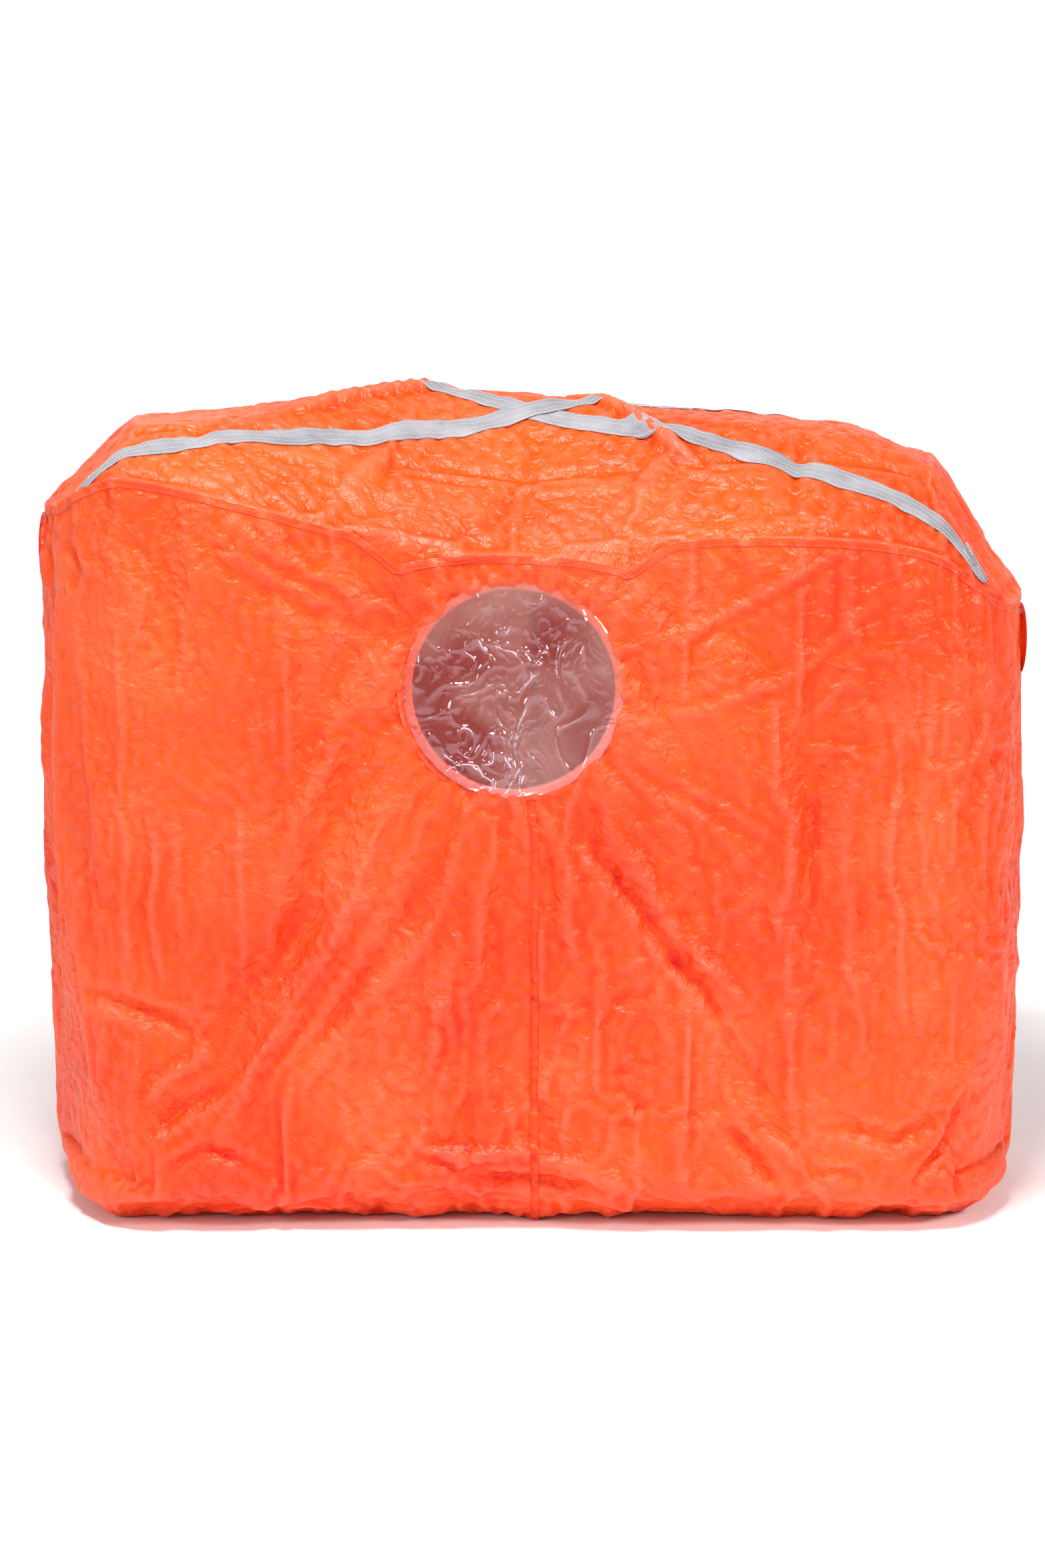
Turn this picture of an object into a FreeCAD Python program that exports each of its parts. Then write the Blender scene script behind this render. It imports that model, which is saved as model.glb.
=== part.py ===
"""Two-person emergency group shelter (bothy bag), as it stands when the people inside hold it up.

The shelter is a bag of coated ripstop with an open bottom.  It is modelled in millimetres, +Z up, with
the front wall and its window facing -Y and the long side along X.  The origin is the middle of the
ground under it.  Cloth is drawn FABRIC thick, which is thicker than real cloth.
"""

import FreeCAD, Part

import math
import os

Vector = FreeCAD.Vector

# Overall bag
LENGTH = 1396.0
DEPTH = 516.0
CROWN_HEIGHT = 1154.0
CORNER_RADIUS = 130.0
FOOT_RADIUS = 90.0
FABRIC = 2.0

# Roof shape, as drops below the crown at shares of the half length, left end to right end
RIDGE_DROPS = (
    (-1.0, 48.0),
    (-0.7, 36.0),
    (-0.2, 0.0),
    (0.2, 26.0),
    (0.65, 58.0),
    (0.8, 92.0),
    (1.0, 100.0),
)
FRONT_SEAM_DROPS = (
    (-1.0, 92.0),
    (-0.7, 110.0),
    (-0.3, 178.0),
    (0.0, 202.0),
    (0.4, 178.0),
    (0.75, 194.0),
    (1.0, 250.0),
)
BACK_SEAM_DROP = 150.0
LEFT_END_DROP = 152.0
RIGHT_END_DROP = 282.0
FRONT_SLOPE = 0.66
BACK_SLOPE = 0.8
BROW_POWER = 1.15
ROOF_BLEND = 10.0
ROOF_ROWS = 48
ROOF_COLUMNS = 24
ROOF_TOLERANCE = 1.0

# Seams
SEAM_LAP = 12.0
CENTRE_SEAM_X = 0.0

# Round window
WINDOW_X = -28.0
WINDOW_DROP = 384.0
FILM_DIAMETER = 296.0
FILM_THICKNESS = 1.0
WINDOW_HOLE_DIAMETER = 274.0
FACING_WIDTH = 20.0

# Reflective tapes
TAPE_WIDTH = 30.0
TAPE_THICKNESS = 1.0
TAPE_GAP = 0.5
TAPE_END_MARGIN = 6.0

# Hem round the open bottom
HEM_RIM = 15.0
HEM_CASING_WIDTH = 14.0
HEM_CASING_HEIGHT = 24.0
HEM_CASING_WALL = 1.5
EYELET_HOLE = 7.0
EYELET_FLANGE = 3.0
EYELET_LIP = 1.0

# Drawcords and their spring locks
CORD_DIAMETER = 2.5
CORD_PAIR_GAP = 0.5
CORD_BEND = 6.0
KNOT_DIAMETER = 8.0
LOCK_DIAMETER = 17.0
LOCK_WALL = 1.8
LOCK_TOP = 11.0
LOCK_BOTTOM = 8.5
LOCK_FLOOR = 1.5
LOCK_SLOT_HEIGHT = 7.0
LOCK_SLOT_SIDE = 1.2
LOCK_STAND_OFF = 5.0
PLUNGER_CLEARANCE = 0.1
PLUNGER_PROUD = 7.0
PLUNGER_SEAT = 4.6
PLUNGER_EDGE = 1.2
PINCH_CLEARANCE = 0.15
SPRING_WIRE = 0.6
SPRING_TURNS = 3
SPRING_SEAT_GAP = 0.05
EDGE_RADIUS = 1.0

# Vents high on the two end walls
VENT_DROP = 70.0
VENT_RADIUS = 38.0
VENT_MOUTH_RADIUS = 28.0
VENT_LENGTH = 90.0
VENT_FLANGE = 12.0
VENT_CLOTH = 1.5
VENT_CHANNEL_LENGTH = 12.0
VENT_CHANNEL_DEPTH = 9.0

# Sit-on panels on the ground inside
SEAT_LENGTH = 300.0
SEAT_THICKNESS = 1.5
SEAT_SIDE_GAP = 6.0
SEAT_CORNER = 20.0

# How far a cutter passes the cloth that it cuts
CUT_REACH = 50.0

# Sizes that follow
HALF_LENGTH = LENGTH / 2
HALF_DEPTH = DEPTH / 2
WINDOW_HEIGHT = CROWN_HEIGHT - WINDOW_DROP
PRISM_TOP = CROWN_HEIGHT + 2 * CUT_REACH
HEM_INSET = FOOT_RADIUS + HEM_RIM
CORD_RADIUS = CORD_DIAMETER / 2
CORD_PAIR_OFFSET = CORD_RADIUS + CORD_PAIR_GAP / 2
CORD_HEIGHT = HEM_CASING_HEIGHT / 2
HEM_CORD_Y = HALF_DEPTH - HEM_INSET - HEM_CASING_WIDTH / 2
LOCK_TRAVEL = LOCK_SLOT_HEIGHT - CORD_DIAMETER - 2 * PINCH_CLEARANCE
LOCK_SLOT_WIDTH = 2 * (CORD_PAIR_OFFSET + CORD_RADIUS + LOCK_SLOT_SIDE)


def between(stations, share):
    """Height drop at a share of the half length, on a smooth curve through the stations."""
    last = len(stations) - 2
    index = 0
    while index < last and share > stations[index + 1][0]:
        index += 1
    before = stations[max(index - 1, 0)]
    start = stations[index]
    end = stations[index + 1]
    after = stations[min(index + 2, last + 1)]
    span = end[0] - start[0]
    start_slope = (end[1] - before[1]) / (end[0] - before[0])
    end_slope = (after[1] - start[1]) / (after[0] - start[0])
    t = (share - start[0]) / span
    rise = (3 - 2 * t) * t * t
    lead_in = t * (1 - t) * (1 - t) * span * start_slope
    lead_out = t * t * (t - 1) * span * end_slope
    return start[1] + rise * (end[1] - start[1]) + lead_in + lead_out


def soft_lowest(heights):
    """The lowest of several heights, blended softly where two are close."""
    total = sum(math.exp((CROWN_HEIGHT - height) / ROOF_BLEND) for height in heights)
    return CROWN_HEIGHT - ROOF_BLEND * math.log(total)


def front_seam_height(x):
    """Height of the seam between the roof and the front wall."""
    return CROWN_HEIGHT - between(FRONT_SEAM_DROPS, x / HALF_LENGTH)


def roof_height(x, y):
    """Height of the cloth's underside: a dome that falls through a brow to the seam round its edge."""
    brow_x = max(-HALF_LENGTH + CORNER_RADIUS, min(HALF_LENGTH - CORNER_RADIUS, x))
    brow_y = max(-HALF_DEPTH + CORNER_RADIUS, min(HALF_DEPTH - CORNER_RADIUS, y))
    dome = soft_lowest((
        CROWN_HEIGHT - between(RIDGE_DROPS, brow_x / HALF_LENGTH),
        front_seam_height(brow_x) + FRONT_SLOPE * (HALF_DEPTH + brow_y),
        CROWN_HEIGHT - BACK_SEAM_DROP + BACK_SLOPE * (HALF_DEPTH - brow_y),
    ))
    out = math.hypot(x - brow_x, y - brow_y) / CORNER_RADIUS
    if out == 0:
        return dome
    end_share = ((x - brow_x) / CORNER_RADIUS / out) ** 2
    end_drop = LEFT_END_DROP if x < 0 else RIGHT_END_DROP
    side = front_seam_height(x) if y < 0 else CROWN_HEIGHT - BACK_SEAM_DROP
    seam = side + (CROWN_HEIGHT - end_drop - side) * end_share
    return dome - (dome - seam) * out ** BROW_POWER


def under_roof(lift):
    """Everything below the roof surface raised by lift."""
    reach_x = HALF_LENGTH + 2 * FABRIC
    reach_y = HALF_DEPTH + 2 * FABRIC
    grid = []
    for row in range(ROOF_ROWS + 1):
        x = reach_x * (2 * row / ROOF_ROWS - 1)
        line = []
        for column in range(ROOF_COLUMNS + 1):
            y = reach_y * (2 * column / ROOF_COLUMNS - 1)
            line.append(Vector(x, y, roof_height(x, y) + lift))
        grid.append(line)
    surface = Part.BSplineSurface()
    surface.approximate(grid, 3, 5, 2, ROOF_TOLERANCE)
    return surface.toShape().extrude(Vector(0, 0, -2 * PRISM_TOP))


def rounded_outline(length, depth, radius, z):
    """Closed wire of a rounded rectangle round the origin at height z."""
    corner_x = length / 2 - radius
    corner_y = depth / 2 - radius
    corners = (
        (corner_x, -corner_y, 270),
        (corner_x, corner_y, 0),
        (-corner_x, corner_y, 90),
        (-corner_x, -corner_y, 180),
    )
    edges = []
    arcs = []
    for x, y, start in corners:
        points = []
        for turn in (0, 45, 90):
            angle = math.radians(start + turn)
            points.append(Vector(x + radius * math.cos(angle), y + radius * math.sin(angle), z))
        arcs.append(points)
    for index, points in enumerate(arcs):
        edges.append(Part.Arc(*points).toShape())
        edges.append(Part.LineSegment(points[2], arcs[(index + 1) % 4][0]).toShape())
    return Part.Wire(edges)


def plan_prism(grow, bottom, top):
    """Upright prism on the bag's plan, grown outwards by grow."""
    outline = rounded_outline(LENGTH + 2 * grow, DEPTH + 2 * grow, CORNER_RADIUS + grow, bottom)
    return Part.Face(outline).extrude(Vector(0, 0, top - bottom))


def footed_prism(grow):
    """The same prism with its lower edge rounded under, as the cloth turns in at the ground."""
    prism = plan_prism(grow, -grow, PRISM_TOP)
    lower = [edge for edge in prism.Edges if edge.BoundBox.ZMax < -grow + 0.01]
    radius = min(FOOT_RADIUS, 0.95 * CORNER_RADIUS) + grow
    return prism.makeFillet(radius, lower)


def cylinder_y(radius, x, z, front, length):
    """Cylinder along +Y that starts at y = front."""
    return Part.makeCylinder(radius, length, Vector(x, front, z), Vector(0, 1, 0))


def window_cut(radius):
    """Cutter for the window's round hole through the front wall."""
    return cylinder_y(radius, WINDOW_X, WINDOW_HEIGHT, -HALF_DEPTH - CUT_REACH, 2 * CUT_REACH)


def vent_height(side):
    """Height of a vent's axis, a set drop below the seam over its end wall."""
    return roof_height(side * HALF_LENGTH, 0) - VENT_DROP


def vent_cut(side):
    """Cutter for the vent hole through one end wall."""
    outside = Vector(side * (HALF_LENGTH + CUT_REACH), 0, vent_height(side))
    return Part.makeCylinder(VENT_RADIUS, 2 * CUT_REACH, outside, Vector(-side, 0, 0))


def mouth_prism():
    """The open bottom, up to the outer side of the hem casing."""
    outline = rounded_outline(LENGTH - 2 * HEM_INSET, DEPTH - 2 * HEM_INSET, hem_radius(), -CUT_REACH)
    return Part.Face(outline).extrude(Vector(0, 0, CUT_REACH + FOOT_RADIUS))


def hem_radius():
    """Plan radius of the hem's corners."""
    return max(CORNER_RADIUS - HEM_INSET, HEM_CASING_WIDTH) + HEM_CASING_WIDTH


def roof_layer(shape, low, high):
    """The part of an upright shape between two heights above the roof surface."""
    return shape.common(under_roof(high)).cut(under_roof(low))


def roof_panel():
    """Roof cloth with its felled edge lapped down over the tops of the walls."""
    lid = roof_layer(plan_prism(0, 0, PRISM_TOP), 0, FABRIC)
    skirt = plan_prism(FABRIC, 0, PRISM_TOP).cut(plan_prism(0, -CUT_REACH, PRISM_TOP + CUT_REACH))
    return lid.fuse(roof_layer(skirt, -SEAM_LAP, FABRIC))


def wall_cloth():
    """Both wall panels as one skin, with the window, the vents and the open bottom cut out."""
    skin = footed_prism(0).common(under_roof(0)).cut(footed_prism(-FABRIC))
    skin = skin.cut(mouth_prism())
    skin = skin.cut(window_cut(WINDOW_HOLE_DIAMETER / 2))
    return skin.cut(vent_cut(-1)).cut(vent_cut(1))


def half_space(side):
    """Large box on one side of the centre seams: side is -1 for the left, 1 for the right."""
    low_x = CENTRE_SEAM_X - LENGTH if side < 0 else CENTRE_SEAM_X
    return Part.makeBox(LENGTH, 2 * DEPTH, 3 * PRISM_TOP, Vector(low_x, -DEPTH, -PRISM_TOP))


def centre_seam_lap():
    """Inner seam allowance of the right panel, which laps over the left at the front and the back."""
    band = footed_prism(-FABRIC).common(under_roof(0)).cut(footed_prism(-2 * FABRIC))
    corner = Vector(CENTRE_SEAM_X - SEAM_LAP / 2, -DEPTH, -CUT_REACH)
    strip = Part.makeBox(SEAM_LAP, 2 * DEPTH, 2 * PRISM_TOP, corner)
    lap = band.common(strip).cut(mouth_prism())
    return lap.cut(window_cut(WINDOW_HOLE_DIAMETER / 2 + FACING_WIDTH + 1))


def wall_panel(side):
    """One U-shaped wall panel: half the front, an end and half the back."""
    panel = wall_cloth().common(half_space(side))
    if side > 0:
        panel = panel.fuse(centre_seam_lap()).removeSplitter()
    return panel


def window_film():
    """Clear film disc sewn on over the hole."""
    front = -HALF_DEPTH - FILM_THICKNESS
    return cylinder_y(FILM_DIAMETER / 2, WINDOW_X, WINDOW_HEIGHT, front, FILM_THICKNESS)


def window_facing():
    """Folded cloth ring that backs the edge of the hole inside."""
    inner = WINDOW_HOLE_DIAMETER / 2
    ring = cylinder_y(inner + FACING_WIDTH, WINDOW_X, WINDOW_HEIGHT, -HALF_DEPTH + FABRIC, FABRIC)
    return ring.cut(window_cut(inner))


def diagonal_strip(side, width):
    """Upright slab along a roof diagonal: side 1 runs front left to back right, -1 the other way."""
    reach = math.hypot(LENGTH, DEPTH)
    slab = Part.makeBox(reach, width, PRISM_TOP, Vector(-reach / 2, -width / 2, 0))
    slab.rotate(Vector(0, 0, 0), Vector(0, 0, 1), side * math.degrees(math.atan2(DEPTH, LENGTH)))
    return slab.common(plan_prism(-TAPE_END_MARGIN, 0, PRISM_TOP))


def reflective_tape_under():
    """Tape sewn on first, from the front right corner to the back left."""
    return roof_layer(diagonal_strip(-1, TAPE_WIDTH), FABRIC, FABRIC + TAPE_THICKNESS)


def reflective_tape_over():
    """Second tape, which steps up over the first where they cross."""
    strip = diagonal_strip(1, TAPE_WIDTH)
    gap = diagonal_strip(-1, TAPE_WIDTH + 2 * TAPE_GAP)
    step = diagonal_strip(-1, TAPE_WIDTH + 2 * TAPE_GAP + 4 * TAPE_THICKNESS)
    base = roof_layer(strip.cut(gap), FABRIC, FABRIC + TAPE_THICKNESS)
    bridge = roof_layer(strip.common(step), FABRIC + TAPE_THICKNESS, FABRIC + 2 * TAPE_THICKNESS)
    return base.fuse(bridge)


def hem_ring(outer_inset, inner_inset, bottom, top):
    """Flat ring between two insets from the bag's plan."""
    radius = hem_radius()
    shapes = []
    for inset in (outer_inset, inner_inset):
        change = inset - HEM_INSET
        outline = rounded_outline(LENGTH - 2 * inset, DEPTH - 2 * inset, radius - change, bottom)
        shapes.append(Part.Face(outline).extrude(Vector(0, 0, top - bottom)))
    return shapes[0].cut(shapes[1])


def hem_casing():
    """Cloth tunnel round the open bottom, with the hole that the drawcord comes out of at the back."""
    wall = HEM_CASING_WALL
    outer = hem_ring(HEM_INSET, HEM_INSET + HEM_CASING_WIDTH, 0, HEM_CASING_HEIGHT)
    inner = hem_ring(HEM_INSET + wall, HEM_INSET + HEM_CASING_WIDTH - wall, wall, HEM_CASING_HEIGHT - wall)
    inner_side = HALF_DEPTH - HEM_INSET - HEM_CASING_WIDTH
    hole = cylinder_y(EYELET_HOLE / 2 + EYELET_LIP, 0, CORD_HEIGHT, inner_side - wall, 3 * wall)
    return outer.cut(inner).cut(hole)


def hem_eyelet():
    """Metal eyelet in the casing's inner side."""
    inner_side = HALF_DEPTH - HEM_INSET - HEM_CASING_WIDTH
    hole = EYELET_HOLE / 2
    depth = HEM_CASING_WALL + EYELET_LIP
    sleeve = cylinder_y(hole + EYELET_LIP, 0, CORD_HEIGHT, inner_side - EYELET_LIP, depth)
    flange = cylinder_y(hole + EYELET_FLANGE, 0, CORD_HEIGHT, inner_side - EYELET_LIP, EYELET_LIP)
    shape = sleeve.fuse(flange).removeSplitter()
    shape = shape.cut(cylinder_y(hole, 0, CORD_HEIGHT, inner_side - CUT_REACH, 2 * CUT_REACH))
    rim = [edge for edge in shape.Edges if edge.BoundBox.YMax < inner_side - EYELET_LIP + 0.01]
    return shape.makeFillet(EYELET_LIP * 0.4, rim)


def round_sweep(path, radius):
    """Round bar swept along a wire, its section square to the start."""
    first = path.Edges[0]
    start = first.valueAt(first.FirstParameter)
    heading = first.tangentAt(first.FirstParameter)
    section = Part.Wire([Part.makeCircle(radius, start, heading)])
    return path.makePipeShell([section], True, True)


def cord_along(edges, name):
    """Cord along straight runs and tangent arcs, with its length and volume printed as a check."""
    path = Part.Wire(edges)
    cord = round_sweep(path, CORD_RADIUS)
    expected = math.pi * CORD_RADIUS ** 2 * path.Length
    print(f"{name}: {path.Length:.0f} mm long, volume {cord.Volume / expected:.4f} of section times length")
    return cord


def arc_through(centre, radius, axis_a, axis_b, start, end):
    """Arc about centre in the plane of two unit axes, from one angle to another in degrees."""
    points = []
    for angle in (start, (start + end) / 2, end):
        turn = math.radians(angle)
        points.append(centre + axis_a * (radius * math.cos(turn)) + axis_b * (radius * math.sin(turn)))
    return Part.Arc(*points).toShape()


def hem_drawcord():
    """Elastic cord right round the hem: both ends leave by the eyelet, pass the lock and share a knot."""
    inset = HEM_INSET + HEM_CASING_WIDTH / 2
    radius = hem_radius() - HEM_CASING_WIDTH / 2
    x_end = HALF_LENGTH - inset - radius
    y_end = HALF_DEPTH - inset - radius
    side = Vector(1, 0, 0)
    ahead = Vector(0, 1, 0)
    z = CORD_HEIGHT
    knot_y = hem_lock_y() - LOCK_DIAMETER / 2 - KNOT_DIAMETER / 2
    bend_y = HEM_CORD_Y - CORD_BEND
    near = CORD_PAIR_OFFSET
    corner = CORD_PAIR_OFFSET + CORD_BEND
    edges = [
        Part.LineSegment(Vector(near, knot_y, z), Vector(near, bend_y, z)).toShape(),
        arc_through(Vector(corner, bend_y, z), CORD_BEND, side, ahead, 180, 90),
        Part.LineSegment(Vector(corner, HEM_CORD_Y, z), Vector(x_end, HEM_CORD_Y, z)).toShape(),
        arc_through(Vector(x_end, y_end, z), radius, side, ahead, 90, 0),
        Part.LineSegment(Vector(x_end + radius, y_end, z), Vector(x_end + radius, -y_end, z)).toShape(),
        arc_through(Vector(x_end, -y_end, z), radius, side, ahead, 0, -90),
        Part.LineSegment(Vector(x_end, -HEM_CORD_Y, z), Vector(-x_end, -HEM_CORD_Y, z)).toShape(),
        arc_through(Vector(-x_end, -y_end, z), radius, side, ahead, -90, -180),
        Part.LineSegment(Vector(-x_end - radius, -y_end, z), Vector(-x_end - radius, y_end, z)).toShape(),
        arc_through(Vector(-x_end, y_end, z), radius, side, ahead, 180, 90),
        Part.LineSegment(Vector(-x_end, HEM_CORD_Y, z), Vector(-corner, HEM_CORD_Y, z)).toShape(),
        arc_through(Vector(-corner, bend_y, z), CORD_BEND, side, ahead, 90, 0),
        Part.LineSegment(Vector(-near, bend_y, z), Vector(-near, knot_y, z)).toShape(),
    ]
    knot = Part.makeSphere(KNOT_DIAMETER / 2, Vector(0, knot_y, z))
    return cord_along(edges, "hem drawcord").fuse(knot)


def hem_lock_y():
    """Where the hem lock's barrel stands, just inside the casing."""
    return HALF_DEPTH - HEM_INSET - HEM_CASING_WIDTH - LOCK_STAND_OFF - LOCK_DIAMETER / 2


def lock_slot(z):
    """Cutter for the cord slot, across the barrel along Y."""
    half_width = LOCK_SLOT_WIDTH / 2
    half_height = LOCK_SLOT_HEIGHT / 2
    corner = Vector(-half_width, -LOCK_DIAMETER, z - half_height)
    slot = Part.makeBox(2 * half_width, 2 * LOCK_DIAMETER, 2 * half_height, corner)
    corners = [edge for edge in slot.Edges if abs(edge.tangentAt(0).y) > 0.9]
    return slot.makeFillet(EDGE_RADIUS, corners)


def lock_body():
    """Barrel of a spring cord lock, with its closed end down and the slot's centre at the origin."""
    outer = Part.makeCylinder(LOCK_DIAMETER / 2, LOCK_TOP + LOCK_BOTTOM, Vector(0, 0, -LOCK_BOTTOM))
    rims = [edge for edge in outer.Edges if edge.BoundBox.ZMax - edge.BoundBox.ZMin < 0.01]
    outer = outer.makeFillet(EDGE_RADIUS, rims)
    floor = LOCK_FLOOR - LOCK_BOTTOM
    bore = Part.makeCylinder(LOCK_DIAMETER / 2 - LOCK_WALL, LOCK_TOP - floor + 1, Vector(0, 0, floor))
    return outer.cut(bore).cut(lock_slot(0))


def lock_plunger():
    """Push button of the lock at rest: its own slot stands above the barrel's, so the cord is pinched."""
    radius = LOCK_DIAMETER / 2 - LOCK_WALL - PLUNGER_CLEARANCE
    bottom = LOCK_TRAVEL - PLUNGER_SEAT
    pin = Part.makeCylinder(radius, LOCK_TOP + PLUNGER_PROUD - bottom, Vector(0, 0, bottom))
    top = [edge for edge in pin.Edges if edge.BoundBox.ZMin > LOCK_TOP]
    return pin.makeFillet(PLUNGER_EDGE, top).cut(lock_slot(LOCK_TRAVEL))


def lock_spring():
    """Small coil spring under the plunger, wound as quarter turns that climb evenly."""
    low = LOCK_FLOOR - LOCK_BOTTOM + SPRING_WIRE / 2 + SPRING_SEAT_GAP
    high = LOCK_TRAVEL - PLUNGER_SEAT - SPRING_WIRE / 2 - SPRING_SEAT_GAP
    radius = LOCK_DIAMETER / 2 - LOCK_WALL - 1.5 * SPRING_WIRE
    eighths = 8 * SPRING_TURNS
    points = []
    for step in range(eighths + 1):
        angle = math.pi / 4 * step
        climb = low + (high - low) * step / eighths
        points.append(Vector(radius * math.cos(angle), radius * math.sin(angle), climb))
    edges = []
    for step in range(0, eighths, 2):
        edges.append(Part.Arc(points[step], points[step + 1], points[step + 2]).toShape())
    return round_sweep(Part.Wire(edges), SPRING_WIRE / 2)


def hem_lock(shape):
    """Stands a lock piece in its place at the back of the hem, plunger up."""
    shape.translate(Vector(0, hem_lock_y(), CORD_HEIGHT - LOCK_TRAVEL / 2))
    return shape


def vent_frame(shape, side):
    """Takes a shape drawn on the left vent, with x inwards from the end wall's outer face, to its side."""
    if side > 0:
        shape.rotate(Vector(0, 0, 0), Vector(0, 0, 1), 180)
    shape.translate(Vector(side * HALF_LENGTH, 0, vent_height(side)))
    return shape


def vent_channel_start():
    """Distance from the end wall's outer face to the sleeve's cord channel."""
    return FABRIC + VENT_LENGTH


def vent_cord_radius():
    """Radius at which the cord runs in the sleeve's channel."""
    return VENT_MOUTH_RADIUS - VENT_CLOTH + VENT_CHANNEL_DEPTH / 2


def vent_sleeve(side):
    """Tapered cloth sleeve into the bag, sewn on by a flange, with a cord channel at its mouth."""
    start = vent_channel_start()
    end = start + VENT_CHANNEL_LENGTH
    inner = VENT_MOUTH_RADIUS - VENT_CLOTH
    outline = [
        Vector(FABRIC, 0, VENT_RADIUS - VENT_CLOTH),
        Vector(FABRIC, 0, VENT_RADIUS + VENT_FLANGE),
        Vector(FABRIC + VENT_CLOTH, 0, VENT_RADIUS + VENT_FLANGE),
        Vector(FABRIC + VENT_CLOTH, 0, VENT_RADIUS),
        Vector(start, 0, inner + VENT_CLOTH),
        Vector(start, 0, inner + VENT_CHANNEL_DEPTH),
        Vector(end, 0, inner + VENT_CHANNEL_DEPTH),
        Vector(end, 0, inner),
        Vector(start, 0, inner),
    ]
    wire = Part.makePolygon(outline + [outline[0]])
    sleeve = Part.Face(wire).revolve(Vector(0, 0, 0), Vector(1, 0, 0), 360)
    low = inner + VENT_CLOTH
    high = inner + VENT_CHANNEL_DEPTH - VENT_CLOTH
    corners = [
        Vector(start + VENT_CLOTH, 0, low),
        Vector(end - VENT_CLOTH, 0, low),
        Vector(end - VENT_CLOTH, 0, high),
        Vector(start + VENT_CLOTH, 0, high),
    ]
    section = Part.Face(Part.makePolygon(corners + [corners[0]]))
    cavity = section.revolve(Vector(0, 0, 0), Vector(1, 0, 0), 360)
    middle = (start + end) / 2
    top = Vector(middle, 0, 1 - high)
    slit = Part.makeCylinder(EYELET_HOLE / 2, VENT_CHANNEL_DEPTH, top, Vector(0, 0, -1))
    return vent_frame(sleeve.cut(cavity).cut(slit), side)


def vent_lock_drop():
    """Distance from the vent's axis down to its cord lock."""
    return VENT_MOUTH_RADIUS - VENT_CLOTH + VENT_CHANNEL_DEPTH + LOCK_STAND_OFF + LOCK_DIAMETER / 2


def vent_cord(side):
    """Cord round the sleeve's mouth, with both ends down through the lock to a shared knot."""
    radius = vent_cord_radius()
    x = vent_channel_start() + VENT_CHANNEL_LENGTH / 2
    across = Vector(0, 1, 0)
    up = Vector(0, 0, 1)
    corner_y = CORD_PAIR_OFFSET + CORD_BEND
    corner_z = -math.sqrt((radius + CORD_BEND) ** 2 - corner_y ** 2)
    meet = math.degrees(math.atan2(corner_z, corner_y))
    knot_z = -vent_lock_drop() - LOCK_DIAMETER / 2 - KNOT_DIAMETER / 2
    near = CORD_PAIR_OFFSET
    edges = [
        Part.LineSegment(Vector(x, near, knot_z), Vector(x, near, corner_z)).toShape(),
        arc_through(Vector(x, corner_y, corner_z), CORD_BEND, across, up, 180, meet + 180),
        arc_through(Vector(x, 0, 0), radius, across, up, meet, 180 - meet),
        arc_through(Vector(x, -corner_y, corner_z), CORD_BEND, across, up, -meet, 0),
        Part.LineSegment(Vector(x, -near, corner_z), Vector(x, -near, knot_z)).toShape(),
    ]
    cord = cord_along(edges, "vent cord")
    return vent_frame(cord.fuse(Part.makeSphere(KNOT_DIAMETER / 2, Vector(x, 0, knot_z))), side)


def vent_lock(shape, side):
    """Hangs a lock piece under a sleeve's mouth, plunger pointing to the middle of the bag."""
    shape.rotate(Vector(0, 0, 0), Vector(1, 0, 0), 90)
    shape.rotate(Vector(0, 0, 0), Vector(0, 0, 1), 90)
    middle = vent_channel_start() + VENT_CHANNEL_LENGTH / 2
    shape.translate(Vector(middle - LOCK_TRAVEL / 2, 0, -vent_lock_drop()))
    return vent_frame(shape, side)


def seat_panel(side):
    """Tough sit-on panel on the ground at one end, sewn to the hem casing."""
    edge = HALF_LENGTH - HEM_INSET - HEM_CASING_WIDTH
    width = DEPTH - 2 * (HEM_INSET + HEM_CASING_WIDTH + SEAT_SIDE_GAP + hem_radius() / 2)
    low_x = -edge if side < 0 else edge - SEAT_LENGTH
    panel = Part.makeBox(SEAT_LENGTH, width, SEAT_THICKNESS, Vector(low_x, -width / 2, 0))
    free_x = low_x + SEAT_LENGTH if side < 0 else low_x
    corners = []
    for edge_line in panel.Edges:
        box = edge_line.BoundBox
        if box.ZLength > SEAT_THICKNESS / 2 and abs(box.XMin - free_x) < 0.1:
            corners.append(edge_line)
    return panel.makeFillet(SEAT_CORNER, corners)


def all_nodes():
    """Every piece of the shelter by name."""
    nodes = {
        "roof_panel": roof_panel(),
        "left_wall_panel": wall_panel(-1),
        "right_wall_panel": wall_panel(1),
        "window_film": window_film(),
        "window_facing": window_facing(),
        "reflective_tape_under": reflective_tape_under(),
        "reflective_tape_over": reflective_tape_over(),
        "hem_casing": hem_casing(),
        "hem_eyelet": hem_eyelet(),
        "hem_drawcord": hem_drawcord(),
        "hem_cord_lock_body": hem_lock(lock_body()),
        "hem_cord_lock_plunger": hem_lock(lock_plunger()),
        "hem_cord_lock_spring": hem_lock(lock_spring()),
    }
    for side, word in ((-1, "left"), (1, "right")):
        nodes[f"{word}_seat_panel"] = seat_panel(side)
        nodes[f"{word}_vent_sleeve"] = vent_sleeve(side)
        nodes[f"{word}_vent_cord"] = vent_cord(side)
        nodes[f"{word}_vent_lock_body"] = vent_lock(lock_body(), side)
        nodes[f"{word}_vent_lock_plunger"] = vent_lock(lock_plunger(), side)
        nodes[f"{word}_vent_lock_spring"] = vent_lock(lock_spring(), side)
    return nodes


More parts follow.
